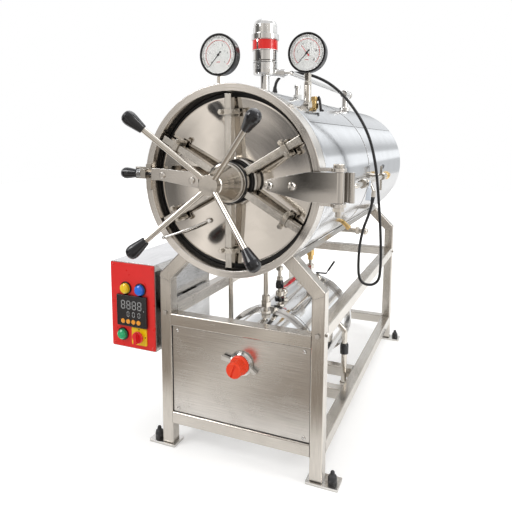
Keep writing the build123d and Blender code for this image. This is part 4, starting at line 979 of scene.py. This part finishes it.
def mix_shaders(tree, fac, a, b):
    node = tree.nodes.new("ShaderNodeMixShader")
    for slot, v in zip(node.inputs, (fac, a, b)):
        tree.links.new(v, slot)
    return node.outputs[0]


def room():
    # white to the camera, plain light to what is lit, and the tones of a room to what mirrors it
    world = bpy.data.worlds.new("studio_world")
    scene.world = world
    world.use_nodes = True
    tree = world.node_tree
    tree.nodes.clear()
    out = tree.nodes.new("ShaderNodeOutputWorld")
    path = tree.nodes.new("ShaderNodeLightPath").outputs
    direction = tree.nodes.new("ShaderNodeTexCoord").outputs["Generated"]
    x, y, z = split(tree, direction)
    wobble = product(tree, calc(tree, "SUBTRACT", noise(tree, direction, 2.3, 1.0), 0.5), 0.07)
    around = calc(tree, "DIVIDE", calc(tree, "ARCTAN2", z, x), math.pi)
    around = total(tree, around, product(tree, wobble, 0.3))
    rear = tone_strip(tree, around, REAR_TONES, REAR_TINT)
    rear = blend_colours(tree, spread(tree, x, -0.34, -0.52), rear, (1.0, 1.0, 1.02))
    ahead = front_windows(tree, x, y, product(tree, wobble, 0.05))
    tones = blend_colours(tree, spread(tree, y, -0.15, 0.25), ahead, rear)
    above = product(tree, spread(tree, z, 0.45, 0.75), 0.75)
    tones = blend_colours(tree, above, tones, (0.86, 0.87, 0.90))
    lit = background(tree, (1.0, 0.99, 0.97), 0.62)
    shown = mix_shaders(tree, path["Is Glossy Ray"], lit, background(tree, tones, 1.0))
    seen = calc(tree, "MAXIMUM", path["Is Camera Ray"], path["Is Transmission Ray"])
    shown = mix_shaders(tree, seen, shown, background(tree, (1.0, 1.0, 1.0), 1.0))
    tree.links.new(shown, out.inputs["Surface"])


def lamps():
    for name, where, aim, size, power in LAMPS:
        lamp = bpy.data.lights.new(name, "AREA")
        lamp.shape = "RECTANGLE"
        lamp.size, lamp.size_y = size
        lamp.energy = power
        obj = bpy.data.objects.new(name, lamp)
        obj.location = where
        obj.rotation_euler = (Vector(aim) - Vector(where)).to_track_quat("-Z", "Y").to_euler()
        scene.collection.objects.link(obj)


def mirrored_floor(tree, x, y):
    # what polished fronts mirror: a warm shaded stretch before the machine with one bright streak, then the
    # windows, and the dark doorway that the upper right of the door mirrors
    streak = calc(tree, "ABSOLUTE", total(tree, total(tree, x, 0.36), product(tree, y, 0.05)))
    warm = blend_colours(tree, spread(tree, streak, 0.03, 0.26), (0.74, 0.70, 0.65), (0.30, 0.255, 0.21))
    beyond = blend_colours(tree, spread(tree, y, -1.65, -2.2), warm, front_windows(tree, x, y))
    aside = total(tree, x, -DOORWAY_X)
    along = product(tree, total(tree, y, -DOORWAY_Y), 0.50)
    from_door = distance(tree, aside, along)
    return blend_colours(tree, spread(tree, from_door, 0.58, 0.80), (0.010, 0.010, 0.014), beyond)


def floor():
    # pale floor that turns white away from the machine
    far = FLOOR_REACH
    mesh = bpy.data.meshes.new("floor")
    mesh.from_pydata([(-far, -far, 0), (far, -far, 0), (far, far, 0), (-far, far, 0)], [], [(0, 1, 2, 3)])
    obj = bpy.data.objects.new("floor", mesh)
    scene.collection.objects.link(obj)
    mat, tree, shader = start_material("floor_pale")
    shader.inputs["Roughness"].default_value = 0.9
    shader.inputs["Specular IOR Level"].default_value = 0.1
    shader.inputs["Emission Strength"].default_value = 1.0
    where = place(tree)
    x, y, z = split(tree, where)
    path = tree.nodes.new("ShaderNodeLightPath").outputs
    mirrored = path["Is Glossy Ray"]
    shade = product(tree, spread(tree, y, -0.80, -1.02), mirrored)
    pale = blend_colours(tree, noise(tree, where, 3.0, 4.0), (0.80, 0.80, 0.80), (0.83, 0.83, 0.83))
    tree.links.new(blend_colours(tree, shade, pale, (0.05, 0.05, 0.05)), shader.inputs["Base Color"])
    seen = product(tree, path["Is Camera Ray"], spread(tree, distance(tree, x, y), 1.2, 2.6, 0.34, 1.0))
    level = total(tree, seen, product(tree, mirrored, spread(tree, x, 0.30, 0.45, 0.26, 0.42)))
    plain = blend_colours(tree, level, (0.0, 0.0, 0.0), (1.0, 1.0, 1.0))
    glow = blend_colours(tree, shade, plain, mirrored_floor(tree, x, y))
    tree.links.new(glow, shader.inputs["Emission Color"])
    mesh.materials.append(mat)


room()
lamps()
floor()
scene.view_settings.view_transform = "Standard"
